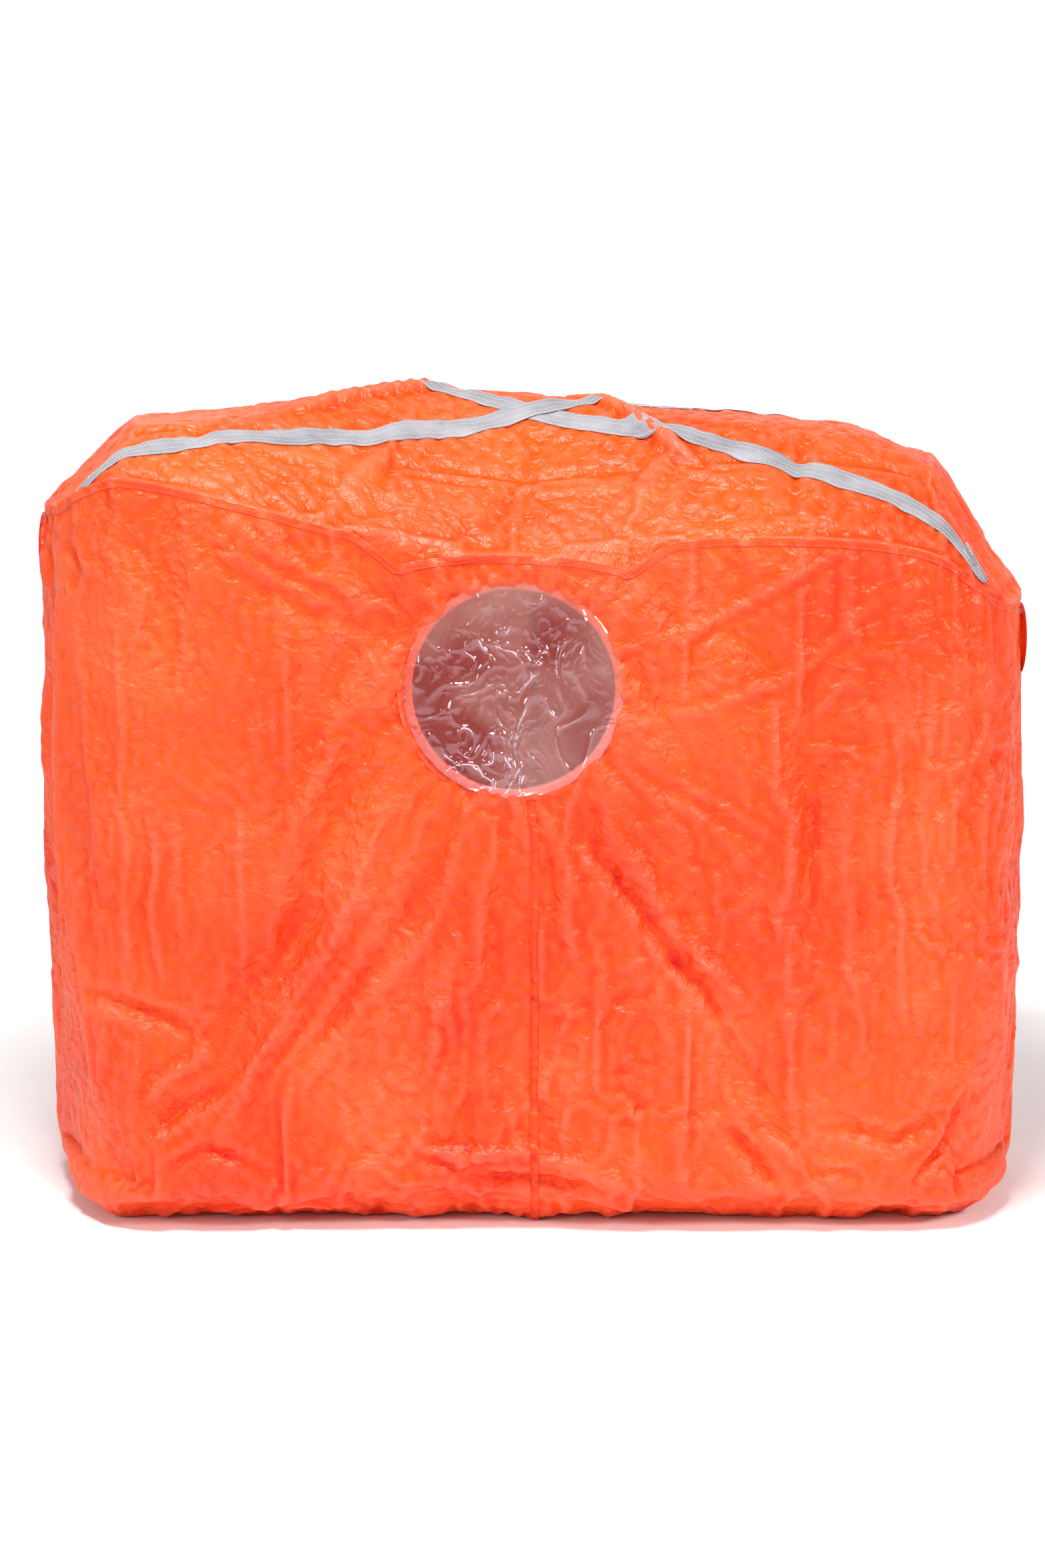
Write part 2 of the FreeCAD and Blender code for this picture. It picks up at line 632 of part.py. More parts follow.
os.makedirs("parts", exist_ok=True)
for name, shape in all_nodes().items():
    print(f"{name}: {len(shape.Solids)} solid, {shape.Volume / 1000:.2f} cm3, valid {shape.isValid()}")
    shape.exportStep(f"parts/{name}.step")
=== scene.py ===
import math

import bpy
import numpy as np
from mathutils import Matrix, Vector
from mathutils.bvhtree import BVHTree


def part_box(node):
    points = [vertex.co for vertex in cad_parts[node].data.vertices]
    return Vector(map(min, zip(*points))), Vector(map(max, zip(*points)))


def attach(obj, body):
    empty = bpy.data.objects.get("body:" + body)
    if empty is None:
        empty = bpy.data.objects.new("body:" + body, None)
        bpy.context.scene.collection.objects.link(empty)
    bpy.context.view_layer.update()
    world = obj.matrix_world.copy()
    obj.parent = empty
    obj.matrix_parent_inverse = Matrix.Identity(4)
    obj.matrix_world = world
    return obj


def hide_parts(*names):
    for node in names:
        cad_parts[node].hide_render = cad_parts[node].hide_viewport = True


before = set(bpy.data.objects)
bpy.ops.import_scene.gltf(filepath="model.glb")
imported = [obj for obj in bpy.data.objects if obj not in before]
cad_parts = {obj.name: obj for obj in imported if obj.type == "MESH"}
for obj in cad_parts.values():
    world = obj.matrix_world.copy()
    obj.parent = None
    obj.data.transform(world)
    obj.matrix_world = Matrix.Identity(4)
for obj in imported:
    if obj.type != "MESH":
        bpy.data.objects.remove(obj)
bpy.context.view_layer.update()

# Bag sizes in metres, as in the part's source
LENGTH = 1.396
DEPTH = 0.516
CROWN = 1.154
CORNER = 0.130
FOOT = 0.090
FABRIC = 0.002
HEM_RIM = 0.015
HALF_LENGTH = LENGTH / 2
HALF_DEPTH = DEPTH / 2
WINDOW = (-0.028, 0.770)
HOLE_RADIUS = 0.137
FILM_RADIUS = 0.148
# Drops below the crown in millimetres, by share of the half length
RIDGE_DROPS = ((-1.0, 48.0), (-0.7, 36.0), (-0.2, 0.0), (0.2, 26.0), (0.65, 58.0), (0.8, 92.0), (1.0, 100.0))
FRONT_SEAM_DROPS = ((-1.0, 92.0), (-0.7, 110.0), (-0.3, 178.0), (0.0, 202.0), (0.4, 178.0), (0.75, 194.0),
                    (1.0, 250.0))
BACK_SEAM_DROP = 0.150
LEFT_END_DROP = 0.152
RIGHT_END_DROP = 0.282
FRONT_SLOPE = 0.66
BACK_SLOPE = 0.8
BROW_POWER = 1.15
ROOF_BLEND = 0.010
VENT_DROP = 0.070
VENT_HOLE = 0.038

# Cloth grid: steps along the long sides, the ends, down the walls, round the foot and along the ground
LONG_STEPS = 140
END_STEPS = 48
WALL_ROWS = 88
FOOT_ROWS = 15
RIM_ROWS = 2
ROWS = WALL_ROWS + FOOT_ROWS + RIM_ROWS
AROUND = 2 * (LONG_STEPS + END_STEPS)


def linear(hex_colour):
    """sRGB hex colour as linear RGBA."""
    values = [int(hex_colour[i:i + 2], 16) / 255 for i in (0, 2, 4)]
    return [v / 12.92 if v <= 0.04045 else ((v + 0.055) / 1.055) ** 2.4 for v in values] + [1.0]


def fill(tree, node, values):
    """Sets a node's sockets and properties by name or number; another node's output is linked in."""
    for key, value in values.items():
        if isinstance(value, bpy.types.NodeSocket):
            tree.links.new(value, node.inputs[key])
        elif isinstance(key, int) or key in node.inputs:
            node.inputs[key].default_value = value
        else:
            setattr(node, key, value)
    return node


def add(tree, kind, values=None):
    """Adds a node with its sockets and properties set."""
    return fill(tree, tree.nodes.new(kind), values or {})


# ---------------------------------------------------------------- shape of the bag

def between(stations, share):
    """Smooth curve through stations, read at an array of shares of the half length."""
    xs = np.array([s[0] for s in stations])
    ys = np.array([s[1] for s in stations]) * 0.001
    index = np.clip(np.searchsorted(xs, share, side="left") - 1, 0, len(xs) - 2)
    before, after = np.maximum(index - 1, 0), np.minimum(index + 2, len(xs) - 1)
    span = xs[index + 1] - xs[index]
    start_slope = (ys[index + 1] - ys[before]) / (xs[index + 1] - xs[before])
    end_slope = (ys[after] - ys[index]) / (xs[after] - xs[index])
    t = (share - xs[index]) / span
    rise = (3 - 2 * t) * t * t
    return (ys[index] + rise * (ys[index + 1] - ys[index])
            + t * (1 - t) ** 2 * span * start_slope + t * t * (t - 1) * span * end_slope)


def front_seam_height(x):
    """Height of the seam between the roof and the front wall."""
    return CROWN - between(FRONT_SEAM_DROPS, x / HALF_LENGTH)


def roof_height(x, y):
    """Height of the roof cloth over arrays of plan points."""
    brow_x = np.clip(x, -HALF_LENGTH + CORNER, HALF_LENGTH - CORNER)
    brow_y = np.clip(y, -HALF_DEPTH + CORNER, HALF_DEPTH - CORNER)
    heights = np.array([
        CROWN - between(RIDGE_DROPS, brow_x / HALF_LENGTH),
        front_seam_height(brow_x) + FRONT_SLOPE * (HALF_DEPTH + brow_y),
        CROWN - BACK_SEAM_DROP + BACK_SLOPE * (HALF_DEPTH - brow_y),
    ])
    dome = CROWN - ROOF_BLEND * np.log(np.exp((CROWN - heights) / ROOF_BLEND).sum(0))
    out = np.hypot(x - brow_x, y - brow_y) / CORNER
    safe = np.maximum(out, 1e-9)
    end_share = ((x - brow_x) / CORNER / safe) ** 2
    end_drop = np.where(x < 0, LEFT_END_DROP, RIGHT_END_DROP)
    side = np.where(y < 0, front_seam_height(x), CROWN - BACK_SEAM_DROP)
    seam = side + (CROWN - end_drop - side) * end_share
    return np.where(out > 0, dome - (dome - seam) * out ** BROW_POWER, dome)


def plan_points(distance):
    """Points and outward directions on the bag's plan, by distance from the front's middle, going right."""
    straight_x = LENGTH / 2 - CORNER
    straight_y = DEPTH - 2 * CORNER
    arc = math.pi / 2 * CORNER
    runs = [straight_x, arc, straight_y, arc, 2 * straight_x, arc, straight_y, arc, straight_x]
    ends = np.cumsum([0] + runs)
    points = np.zeros((len(distance), 2))
    normals = np.zeros((len(distance), 2))
    cx, cy = HALF_LENGTH - CORNER, HALF_DEPTH - CORNER
    starts = [(0, -HALF_DEPTH), None, (HALF_LENGTH, -cy), None, (cx, HALF_DEPTH), None, (-HALF_LENGTH, cy),
              None, (-cx, -HALF_DEPTH)]
    centres = {1: (cx, -cy), 3: (cx, cy), 5: (-cx, cy), 7: (-cx, -cy)}
    for run in range(9):
        inside = (distance >= ends[run] - 1e-9) & (distance <= ends[run + 1] + 1e-9)
        gone = distance[inside] - ends[run]
        turn = math.radians(-90 + 90 * ((run + 1) // 2))
        if run in centres:
            angle = math.radians(-90 + 90 * (run // 2)) + gone / CORNER
            normals[inside] = np.stack([np.cos(angle), np.sin(angle)], 1)
            points[inside] = np.array(centres[run]) + CORNER * normals[inside]
        else:
            normal = np.array([math.cos(turn), math.sin(turn)])
            along = np.array([-normal[1], normal[0]])
            points[inside] = np.array(starts[run]) + gone[:, None] * along
            normals[inside] = normal
    return points, normals


def column_distances():
    """Distance round the plan of each cloth column; the roof grid's corners fall halfway round its arcs."""
    half_front = HALF_LENGTH - CORNER + math.pi / 4 * CORNER
    end = DEPTH - 2 * CORNER + math.pi / 2 * CORNER
    half = LONG_STEPS // 2
    parts = [
        np.linspace(0, half_front, half + 1)[:-1],
        half_front + np.linspace(0, end, END_STEPS + 1)[:-1],
        half_front + end + np.linspace(0, 2 * half_front, LONG_STEPS + 1)[:-1],
        3 * half_front + end + np.linspace(0, end, END_STEPS + 1)[:-1],
        3 * half_front + 2 * end + np.linspace(0, half_front, half + 1)[:-1],
    ]
    return np.concatenate(parts)


def column_total():
    """Distance right round the plan."""
    return 2 * (LENGTH - 2 * CORNER) + 2 * (DEPTH - 2 * CORNER) + 2 * math.pi * CORNER


def vent_height(side):
    """Height of a vent's axis: side is -1 for the left end, 1 for the right."""
    return float(roof_height(np.array([side * HALF_LENGTH]), np.array([0.0]))[0]) - VENT_DROP


def hole_list():
    """Window and vent holes: distance round the plan, height, radius, rings inside and rings that blend out."""
    quarter = (LENGTH - 2 * CORNER) / 2 + math.pi / 2 * CORNER + (DEPTH - 2 * CORNER) / 2
    total = column_total()
    return (
        (WINDOW[0] + total, WINDOW[1], HOLE_RADIUS, 14, 9),
        (quarter, vent_height(1), VENT_HOLE, 4, 5),
        (total - quarter, vent_height(-1), VENT_HOLE, 4, 5),
    )


def square_to_circle(across, down):
    """Angle of a square ring's grid point once the ring is round."""
    wide = np.abs(across) >= np.abs(down)
    safe_across = np.where(across == 0, 1, across)
    safe_down = np.where(down == 0, 1, down)
    side = np.where(across >= 0, 0.0, math.pi) - math.pi / 4 * down / safe_across
    top = np.where(down <= 0, math.pi / 2, -math.pi / 2) + math.pi / 4 * across / safe_down
    return np.where(wide, side, top)


def wall_grid():
    """Wall cloth from the roof seam down and in to the hem: points, flat coordinates, hole mask."""
    distance = column_distances()
    plan, _ = plan_points(distance)
    top = roof_height(plan[:, 0], plan[:, 1])
    rows = np.arange(WALL_ROWS + 1) / WALL_ROWS
    far = np.repeat(distance[:, None], WALL_ROWS + 1, 1)
    high = top[:, None] + (FOOT - top)[:, None] * rows
    total = column_total()
    hole = np.zeros((AROUND, ROWS), bool)
    for centre, height, radius, ring, blend in hole_list():
        nearest = int(np.argmin(np.abs(distance - centre % total)))
        shift = (np.arange(AROUND) - nearest + AROUND // 2) % AROUND - AROUND // 2
        row0 = int(np.argmin(np.abs(high[nearest] - height)))
        down = np.arange(WALL_ROWS + 1) - row0
        rings = np.maximum(np.abs(shift)[:, None], np.abs(down)[None, :])
        near = rings <= ring + blend
        across = np.broadcast_to(shift[:, None], rings.shape)[near].astype(float)
        drop = np.broadcast_to(down[None, :], rings.shape)[near].astype(float)
        n = rings[near]
        angle = square_to_circle(across, drop)
        step = distance[1] - distance[0]
        r = radius * np.minimum(n / ring, 1) + np.maximum(n - ring, 0) * step
        share = np.clip((n - ring - 1) / (blend - 1), 0, 1)
        keep = share * share * (3 - 2 * share)
        here = (far[near] - centre + total / 2) % total - total / 2
        new_far = r * np.cos(angle)
        new_high = height + r * np.sin(angle)
        far[near] = centre + new_far + (here - new_far) * keep
        high[near] = new_high + (high[near] - new_high) * keep
        after = np.roll(rings, -1, 0)
        hole[:, :WALL_ROWS] |= np.maximum.reduce([rings[:, :-1], rings[:, 1:], after[:, :-1],
                                                  after[:, 1:]]) <= ring
    points = np.zeros((AROUND, ROWS + 1, 3))
    flat = np.zeros((AROUND, ROWS + 1, 2))
    for row in range(ROWS + 1):
        if row <= WALL_ROWS:
            place = far[:, row] % total
            plan, _ = plan_points(place)
            points[:, row] = np.column_stack([plan, high[:, row]])
            along = (far[:, row] - distance + total / 2) % total - total / 2 + distance
            flat[:, row] = np.column_stack([along, high[:, row]])
            continue
        plan, normal = plan_points(distance)
        arc = min(row - WALL_ROWS, FOOT_ROWS) / FOOT_ROWS * math.pi / 2
        rim = HEM_RIM * max(row - WALL_ROWS - FOOT_ROWS, 0) / RIM_ROWS
        inset = FOOT * (1 - math.cos(arc)) + rim
        points[:, row, :2] = plan - normal * inset
        points[:, row, 2] = FOOT * (1 - math.sin(arc))
        flat[:, row] = np.column_stack([distance, np.full(AROUND, FOOT - FOOT * arc - rim)])
    return points, flat, hole


def roof_sides():
    """Column numbers of the seam's front, back, left and right sides, in the roof grid's order."""
    a = LONG_STEPS // 2
    c = a + END_STEPS + LONG_STEPS
    d = c + END_STEPS
    front = [(d + i) % AROUND for i in range(LONG_STEPS + 1)]
    back = [c - i for i in range(LONG_STEPS + 1)]
    left = [d - j for j in range(END_STEPS + 1)]
    right = [a + j for j in range(END_STEPS + 1)]
    return front, back, left, right


def roof_grid(seam):
    """Roof cloth points, stretched between the four sides of the seam."""
    front, back, left, right = (seam[s, :2] for s in roof_sides())
    u = np.linspace(0, 1, LONG_STEPS + 1)[:, None, None]
    v = np.linspace(0, 1, END_STEPS + 1)[None, :, None]
    grid = (1 - v) * front[:, None] + v * back[:, None] + (1 - u) * left[None] + u * right[None]
    grid = grid - ((1 - u) * (1 - v) * front[0] + u * (1 - v) * front[-1] + (1 - u) * v * back[0] + u * v * back[-1])
    return np.concatenate([grid, roof_height(grid[..., 0], grid[..., 1])[..., None]], 2)


def joined_indices():
    """Vertex numbers of the wall grid and of the roof grid, which share the seam."""
    wall = np.arange(AROUND * (ROWS + 1)).reshape(AROUND, ROWS + 1)
    roof = np.zeros((LONG_STEPS + 1, END_STEPS + 1), int)
    inner = (LONG_STEPS - 1) * (END_STEPS - 1)
    roof[1:-1, 1:-1] = (wall.size + np.arange(inner)).reshape(LONG_STEPS - 1, END_STEPS - 1)
    front, back, left, right = roof_sides()
    roof[:, 0], roof[:, -1] = wall[front, 0], wall[back, 0]
    roof[0, :], roof[-1, :] = wall[left, 0], wall[right, 0]
    return wall, roof


def grid_quads(index, wrap=False):
    """Quads of a grid of vertex numbers; wrap joins its last column to its first."""
    a = index if wrap else index[:-1]
    b = np.roll(index, -1, 0) if wrap else index[1:]
    return np.stack([a[:, :-1], a[:, 1:], b[:, 1:], b[:, :-1]], -1)


def grid_mesh(name, points, faces, corners=None):
    """Smooth-shaded mesh object from arrays of points, equal-sided faces and flat corner coordinates."""
    points = np.asarray(points, float).reshape(-1, 3)
    sides = np.shape(faces)[-1]
    used, faces = np.unique(np.asarray(faces).ravel(), return_inverse=True)
    faces = faces.reshape(-1, sides)
    points = points[used]
    mesh = bpy.data.meshes.new(name)
    mesh.vertices.add(len(points))
    mesh.vertices.foreach_set("co", points.astype(np.float32).ravel())
    mesh.loops.add(faces.size)
    mesh.loops.foreach_set("vertex_index", faces.astype(np.int32).ravel())
    mesh.polygons.add(len(faces))
    mesh.polygons.foreach_set("loop_start", (np.arange(len(faces)) * sides).astype(np.int32))
    mesh.polygons.foreach_set("loop_total", np.full(len(faces), sides, np.int32))
    mesh.polygons.foreach_set("use_smooth", np.ones(len(faces), bool))
    if corners is not None:
        mesh.uv_layers.new(name="flat_cloth").data.foreach_set("uv", np.asarray(corners, np.float32).ravel())
    mesh.update()
    made = bpy.data.objects.new(name, mesh)
    bpy.context.scene.collection.objects.link(made)
    return made


# ---------------------------------------------------------------- noise and folds

def hashed(cell, salt):
    """Repeatable random numbers from 0 to 1 for integer cells (n, 3), three of them."""
    a = cell.astype(np.int64)
    mixed = a[:, 0] * 73856093 ^ a[:, 1] * 19349663 ^ a[:, 2] * 83492791 ^ (salt * 2654435761)
    out = []
    for turn in (12582917, 4256249, 741103597):
        mixed = (mixed * turn + 1013904223) & 0x7FFFFFFF
        mixed = mixed ^ (mixed >> 13)
        out.append((mixed & 0xFFFFF) / 1048575.0)
    return np.stack(out, 1)


def smooth_noise(p, salt):
    """Smooth value noise from -1 to 1 at points (n, 3), one feature a unit."""
    base = np.floor(p).astype(np.int64)
    t = p - base
    t = t * t * t * (t * (t * 6 - 15) + 10)
    total = np.zeros(len(p))
    for corner in np.ndindex(2, 2, 2):
        wx, wy, wz = (t[:, k] if far else 1 - t[:, k] for k, far in enumerate(corner))
        total += wx * wy * wz * hashed(base + corner, salt)[:, 0]
    return 2 * total - 1


def warped(p, salts):
    """Three noises at points (n, 3), as shifts for the points of another noise."""
    return np.stack([smooth_noise(p, salt) for salt in salts], 1)


def facets(p, salt):
    """Crumple: 0 at the creases between random cells, rising to about 1 at their middles."""
    base = np.floor(p).astype(np.int64)
    near = np.full(len(p), 9.0)
    second = np.full(len(p), 9.0)
    for step in np.ndindex(3, 3, 3):
        cell = base + step - 1
        gap = np.linalg.norm(cell + hashed(cell, salt) - p, axis=1)
        second = np.minimum(second, np.maximum(near, gap))
        near = np.minimum(near, gap)
    return np.clip(second - near, 0, 1)


def along_line(across, up, line):
    """Distance of points from a polyline, and how far along it they are from 0 to 1."""
    best = np.full(across.shape, 9.0)
    share = np.zeros(across.shape)
    lengths = [math.dist(line[i], line[i + 1]) for i in range(len(line) - 1)]
    gone = 0.0
    for i, length in enumerate(lengths):
        (x0, z0), (x1, z1) = line[i], line[i + 1]
        t = np.clip(((across - x0) * (x1 - x0) + (up - z0) * (z1 - z0)) / length ** 2, 0, 1)
        gap = np.hypot(across - x0 - t * (x1 - x0), up - z0 - t * (z1 - z0))
        closer = gap < best
        best = np.where(closer, gap, best)
        share = np.where(closer, (gone + t * length) / sum(lengths), share)
        gone += length
    return best, share


def fold_heights(across, up, folds):
    """Sum of folds: each is (line, half width, height, crispness), with its ends faded out."""
    total = np.zeros(across.shape)
    for line, width, height, crisp in folds:
        gap, share = along_line(across, up, line)
        soft = np.exp(-(gap / width) ** 2 * 1.4)
        sharp = np.maximum(0, 1 - gap / width)
        fade = np.clip(np.minimum(share, 1 - share) * 4 + 0.15, 0, 1)
        total += height * fade * ((1 - crisp) * soft + crisp * sharp)
    return total


# Front wall folds: points across and up, half width, height outwards (negative is a hollow), crispness
FRONT_FOLDS = (
    (((-0.17, 0.66), (-0.235, 0.50), (-0.33, 0.36), (-0.435, 0.18)), 0.030, 0.016, 0.5),
    (((-0.215, 0.70), (-0.29, 0.54), (-0.37, 0.40), (-0.44, 0.28)), 0.032, -0.014, 0.2),
    (((-0.26, 0.70), (-0.33, 0.58), (-0.365, 0.46), (-0.375, 0.35)), 0.022, 0.009, 0.5),
    (((-0.12, 0.60), (-0.17, 0.46), (-0.26, 0.33), (-0.33, 0.24)), 0.024, -0.010, 0.3),
    (((-0.09, 0.60), (-0.125, 0.47), (-0.20, 0.35)), 0.020, 0.007, 0.6),
    (((-0.583, 0.62), (-0.588, 0.50), (-0.575, 0.38)), 0.016, 0.008, 0.5),
    (((-0.531, 0.60), (-0.536, 0.48), (-0.520, 0.37)), 0.016, 0.008, 0.5),
    (((-0.484, 0.62), (-0.49, 0.50), (-0.478, 0.40)), 0.018, 0.006, 0.4),
    (((-0.655, 0.36), (-0.57, 0.335), (-0.45, 0.30)), 0.022, -0.008, 0.4),
    (((-0.55, 0.15), (-0.50, 0.20), (-0.43, 0.25)), 0.020, -0.016, 0.5),
    (((-0.56, 0.19), (-0.51, 0.24), (-0.45, 0.285)), 0.016, 0.010, 0.5),
    (((-0.52, 0.10), (-0.46, 0.13), (-0.40, 0.11)), 0.016, -0.010, 0.6),
    (((0.06, 0.60), (0.103, 0.53), (0.16, 0.45), (0.22, 0.36), (0.27, 0.27)), 0.018, -0.011, 0.5),
    (((0.09, 0.62), (0.14, 0.53), (0.21, 0.43), (0.285, 0.33)), 0.020, 0.010, 0.5),
    (((0.03, 0.60), (0.04, 0.48), (0.06, 0.36)), 0.016, 0.005, 0.5),
    (((0.327, 0.80), (0.335, 0.60), (0.337, 0.45), (0.36, 0.26)), 0.020, 0.009, 0.5),
    (((0.37, 0.78), (0.38, 0.60), (0.385, 0.40)), 0.020, -0.007, 0.3),
    (((0.41, 0.74), (0.424, 0.56), (0.43, 0.40), (0.45, 0.26)), 0.020, 0.009, 0.5),
    (((0.49, 0.72), (0.493, 0.52), (0.505, 0.30)), 0.018, 0.007, 0.5),
    (((0.555, 0.80), (0.546, 0.62), (0.56, 0.42)), 0.018, 0.006, 0.5),
    (((0.276, 0.17), (0.30, 0.14), (0.346, 0.08)), 0.018, -0.014, 0.5),
    (((0.33, 0.17), (0.37, 0.12), (0.40, 0.07)), 0.016, 0.010, 0.6),
    (((0.42, 0.18), (0.50, 0.15), (0.56, 0.17)), 0.022, -0.008, 0.4),
    (((0.56, 0.10), (0.60, 0.14), (0.635, 0.21)), 0.014, -0.014, 0.6),
    (((-0.16, 0.14), (-0.09, 0.125), (-0.02, 0.128), (0.05, 0.105), (0.10, 0.08)), 0.016, 0.013, 0.6),
    (((-0.10, 0.09), (-0.03, 0.085), (0.05, 0.07), (0.11, 0.055)), 0.018, -0.016, 0.5),
    (((-0.50, 1.00), (-0.40, 0.93), (-0.28, 0.86), (-0.18, 0.83)), 0.022, -0.008, 0.3),
    (((-0.42, 1.00), (-0.33, 0.95), (-0.23, 0.88), (-0.15, 0.86)), 0.016, 0.006, 0.5),
    (((-0.62, 0.99), (-0.56, 0.90), (-0.54, 0.80)), 0.030, 0.008, 0.2),
    (((-0.56, 1.00), (-0.50, 0.90), (-0.47, 0.78)), 0.030, -0.008, 0.2),
    (((0.13, 0.80), (0.22, 0.86), (0.34, 0.93), (0.42, 0.96)), 0.016, 0.006, 0.5),
    (((0.13, 0.73), (0.24, 0.75), (0.36, 0.80), (0.50, 0.90)), 0.018, 0.005, 0.5),
    (((0.12, 0.68), (0.22, 0.62), (0.30, 0.56)), 0.018, -0.006, 0.5),
    (((-0.664, 0.97), (-0.655, 0.93), (-0.668, 0.89)), 0.016, -0.014, 0.6),
    (((-0.645, 0.98), (-0.634, 0.93), (-0.65, 0.88)), 0.010, 0.006, 0.6),
)
# Roof folds, in plan
ROOF_FOLDS = (
    (((-0.34, -0.06), (-0.25, 0.00), (-0.15, 0.055), (-0.10, 0.07)), 0.014, 0.016, 0.6),
    (((0.05, 0.07), (0.085, 0.045), (0.13, -0.01), (0.175, -0.07), (0.22, -0.12)), 0.014, 0.016, 0.6),
    (((-0.26, -0.20), (-0.20, -0.10), (-0.16, 0.00)), 0.030, 0.006, 0.2),
    (((-0.06, -0.23), (-0.02, -0.13), (0.02, -0.03)), 0.030, -0.006, 0.2),
    (((0.12, -0.24), (0.16, -0.14), (0.21, -0.05)), 0.026, 0.006, 0.3),
    (((0.34, -0.24), (0.36, -0.12), (0.40, 0.0)), 0.030, -0.006, 0.2),
    (((-0.50, -0.22), (-0.42, -0.10), (-0.38, 0.0)), 0.030, -0.005, 0.2),
)


# Heights in metres of the cloth's folds, besides the ones in the tables
WANDER = 0.014
FOLD_SHARE = 0.8
PUCKER_HEIGHT = 0.007
FAN_HEIGHT = 0.009
BROAD_HEIGHT = 0.006
LOOSE_HEIGHT = 0.006
SMALL_HEIGHT = 0.0035


def start_folds(points, normals):
    """Height of the folds the cloth hangs in, out along its normals from the smooth bag."""
    x, y, z = points.T
    front = np.clip(-normals[:, 1], 0, 1) ** 2
    corner = np.clip(1.6 * (-normals[:, 1]) + 0.2, 0, 1)
    reach = np.maximum(front, corner * (np.abs(x) > 0.6))
    wander = WANDER * np.stack([smooth_noise(points * 9, 16), smooth_noise(points * 9, 17)])
    lift = FOLD_SHARE * fold_heights(x + wander[0], z + wander[1], FRONT_FOLDS) * reach
    top = np.clip(normals[:, 2] * 1.4, 0, 1)
    lift += fold_heights(x, y, ROOF_FOLDS) * top
    # puckers round the window
    away = np.hypot(x - WINDOW[0], z - WINDOW[1])
    turn = np.arctan2(z - WINDOW[1], x - WINDOW[0])
    ring = np.stack([np.cos(turn) * 7.0, np.sin(turn) * 7.0, np.zeros(len(x))], 1)
    pucker = smooth_noise(ring, 5) * 0.6 + smooth_noise(ring * 2.1, 6) * 0.4
    beyond = np.maximum(away - HOLE_RADIUS, 0)
    lift += front * pucker * PUCKER_HEIGHT * np.exp(-beyond / 0.09) * (away > HOLE_RADIUS * 1.02)
    # long creases that fan out downwards from it
    spoke = np.stack([np.cos(turn) * 5.2, np.sin(turn) * 5.2, away * 3.0], 1)
    fan = (1 - np.abs(smooth_noise(spoke, 7))) ** 1.5 - 0.5
    below, start, end = np.clip(0.35 - np.sin(turn), 0, 1), np.clip(beyond / 0.06, 0, 1), np.exp(-beyond / 0.22)
    lift += front * fan * FAN_HEIGHT * below * start * end
    # broad soft undulation of the front
    wide = np.stack([x * 5.5 + z, y * 5, z * 1.9], 1)
    narrow = np.stack([x * 13 + 2 * z, y * 9, z * 3.2], 1)
    broad = smooth_noise(wide, 8) + 0.5 * smooth_noise(narrow, 9)
    lift += front * BROAD_HEIGHT * broad
    # loose vertical folds on the ends and the back, and smaller ones all round
    around = np.stack([x * 9, y * 9, z * 2.2], 1)
    warp = warped(around * 0.6, (11, 12, 13))
    loose = 1 - np.abs(smooth_noise(around + 0.8 * warp, 14)) * 2
    lift += (1 - front) * (1 - top) * LOOSE_HEIGHT * loose
    close = np.stack([x * 16, y * 16, z * 7], 1) + 0.5 * warp
    lift += SMALL_HEIGHT * (1 - top) * (1 - 2 * np.abs(smooth_noise(close, 15)))
    return lift


# How far the cloth may shrink in the simulation, and its number of steps
SLACK = 0.022
SIM_FRAMES = 14


def simulate(points, faces, weights):
    """Points of slightly slack cloth once a simulation has let it settle, held to its start by pin weights."""
    shell = grid_mesh("slack_cloth", points, faces)
    group = shell.vertex_groups.new(name="held")
    for value in np.unique(weights):
        group.add([int(i) for i in np.nonzero(weights == value)[0]], float(value), "REPLACE")
    cloth = shell.modifiers.new("cloth", "CLOTH")
    facts = cloth.settings
    facts.quality = 5
    facts.mass = 0.05
    facts.tension_stiffness = facts.compression_stiffness = 15
    facts.shear_stiffness = 5
    facts.bending_stiffness = 0.04
    facts.shrink_min = -SLACK
    facts.vertex_group_mass = "held"
    facts.pin_stiffness = 1.0
    facts.effector_weights.gravity = 0.1
    for step in range(1, SIM_FRAMES + 1):
        bpy.context.scene.frame_set(step)
    settled = shell.evaluated_get(bpy.context.evaluated_depsgraph_get())
    out = np.zeros(len(points) * 3)
    settled.data.vertices.foreach_get("co", out)
    bpy.data.objects.remove(shell)
    bpy.context.scene.frame_set(1)
    return out.reshape(-1, 3)


def finer(grid, wrap=False):
    """Grid with twice as many steps along its first axis, on a smooth curve through its points."""
    before = np.roll(grid, 1, 0) if wrap else np.concatenate([2 * grid[:1] - grid[1:2], grid[:-1]])
    after = np.roll(grid, -1, 0) if wrap else np.concatenate([grid[1:], 2 * grid[-1:] - grid[-2:-1]])
    beyond = np.roll(grid, -2, 0) if wrap else np.concatenate([after[1:], 2 * after[-1:] - after[-2:-1]])
    middle = (9 * (grid + after) - before - beyond) / 16
    count = len(grid) if wrap else len(grid) - 1
    out = np.zeros((2 * count + (0 if wrap else 1),) + grid.shape[1:])
    out[0:2 * count:2] = grid[:count]
    out[1:2 * count:2] = middle[:count]
    if not wrap:
        out[-1] = grid[-1]
    return out


def finer_both(grid, wrap=False):
    """Grid with twice as many steps both ways."""
    return finer(finer(grid, wrap).swapaxes(0, 1)).swapaxes(0, 1)


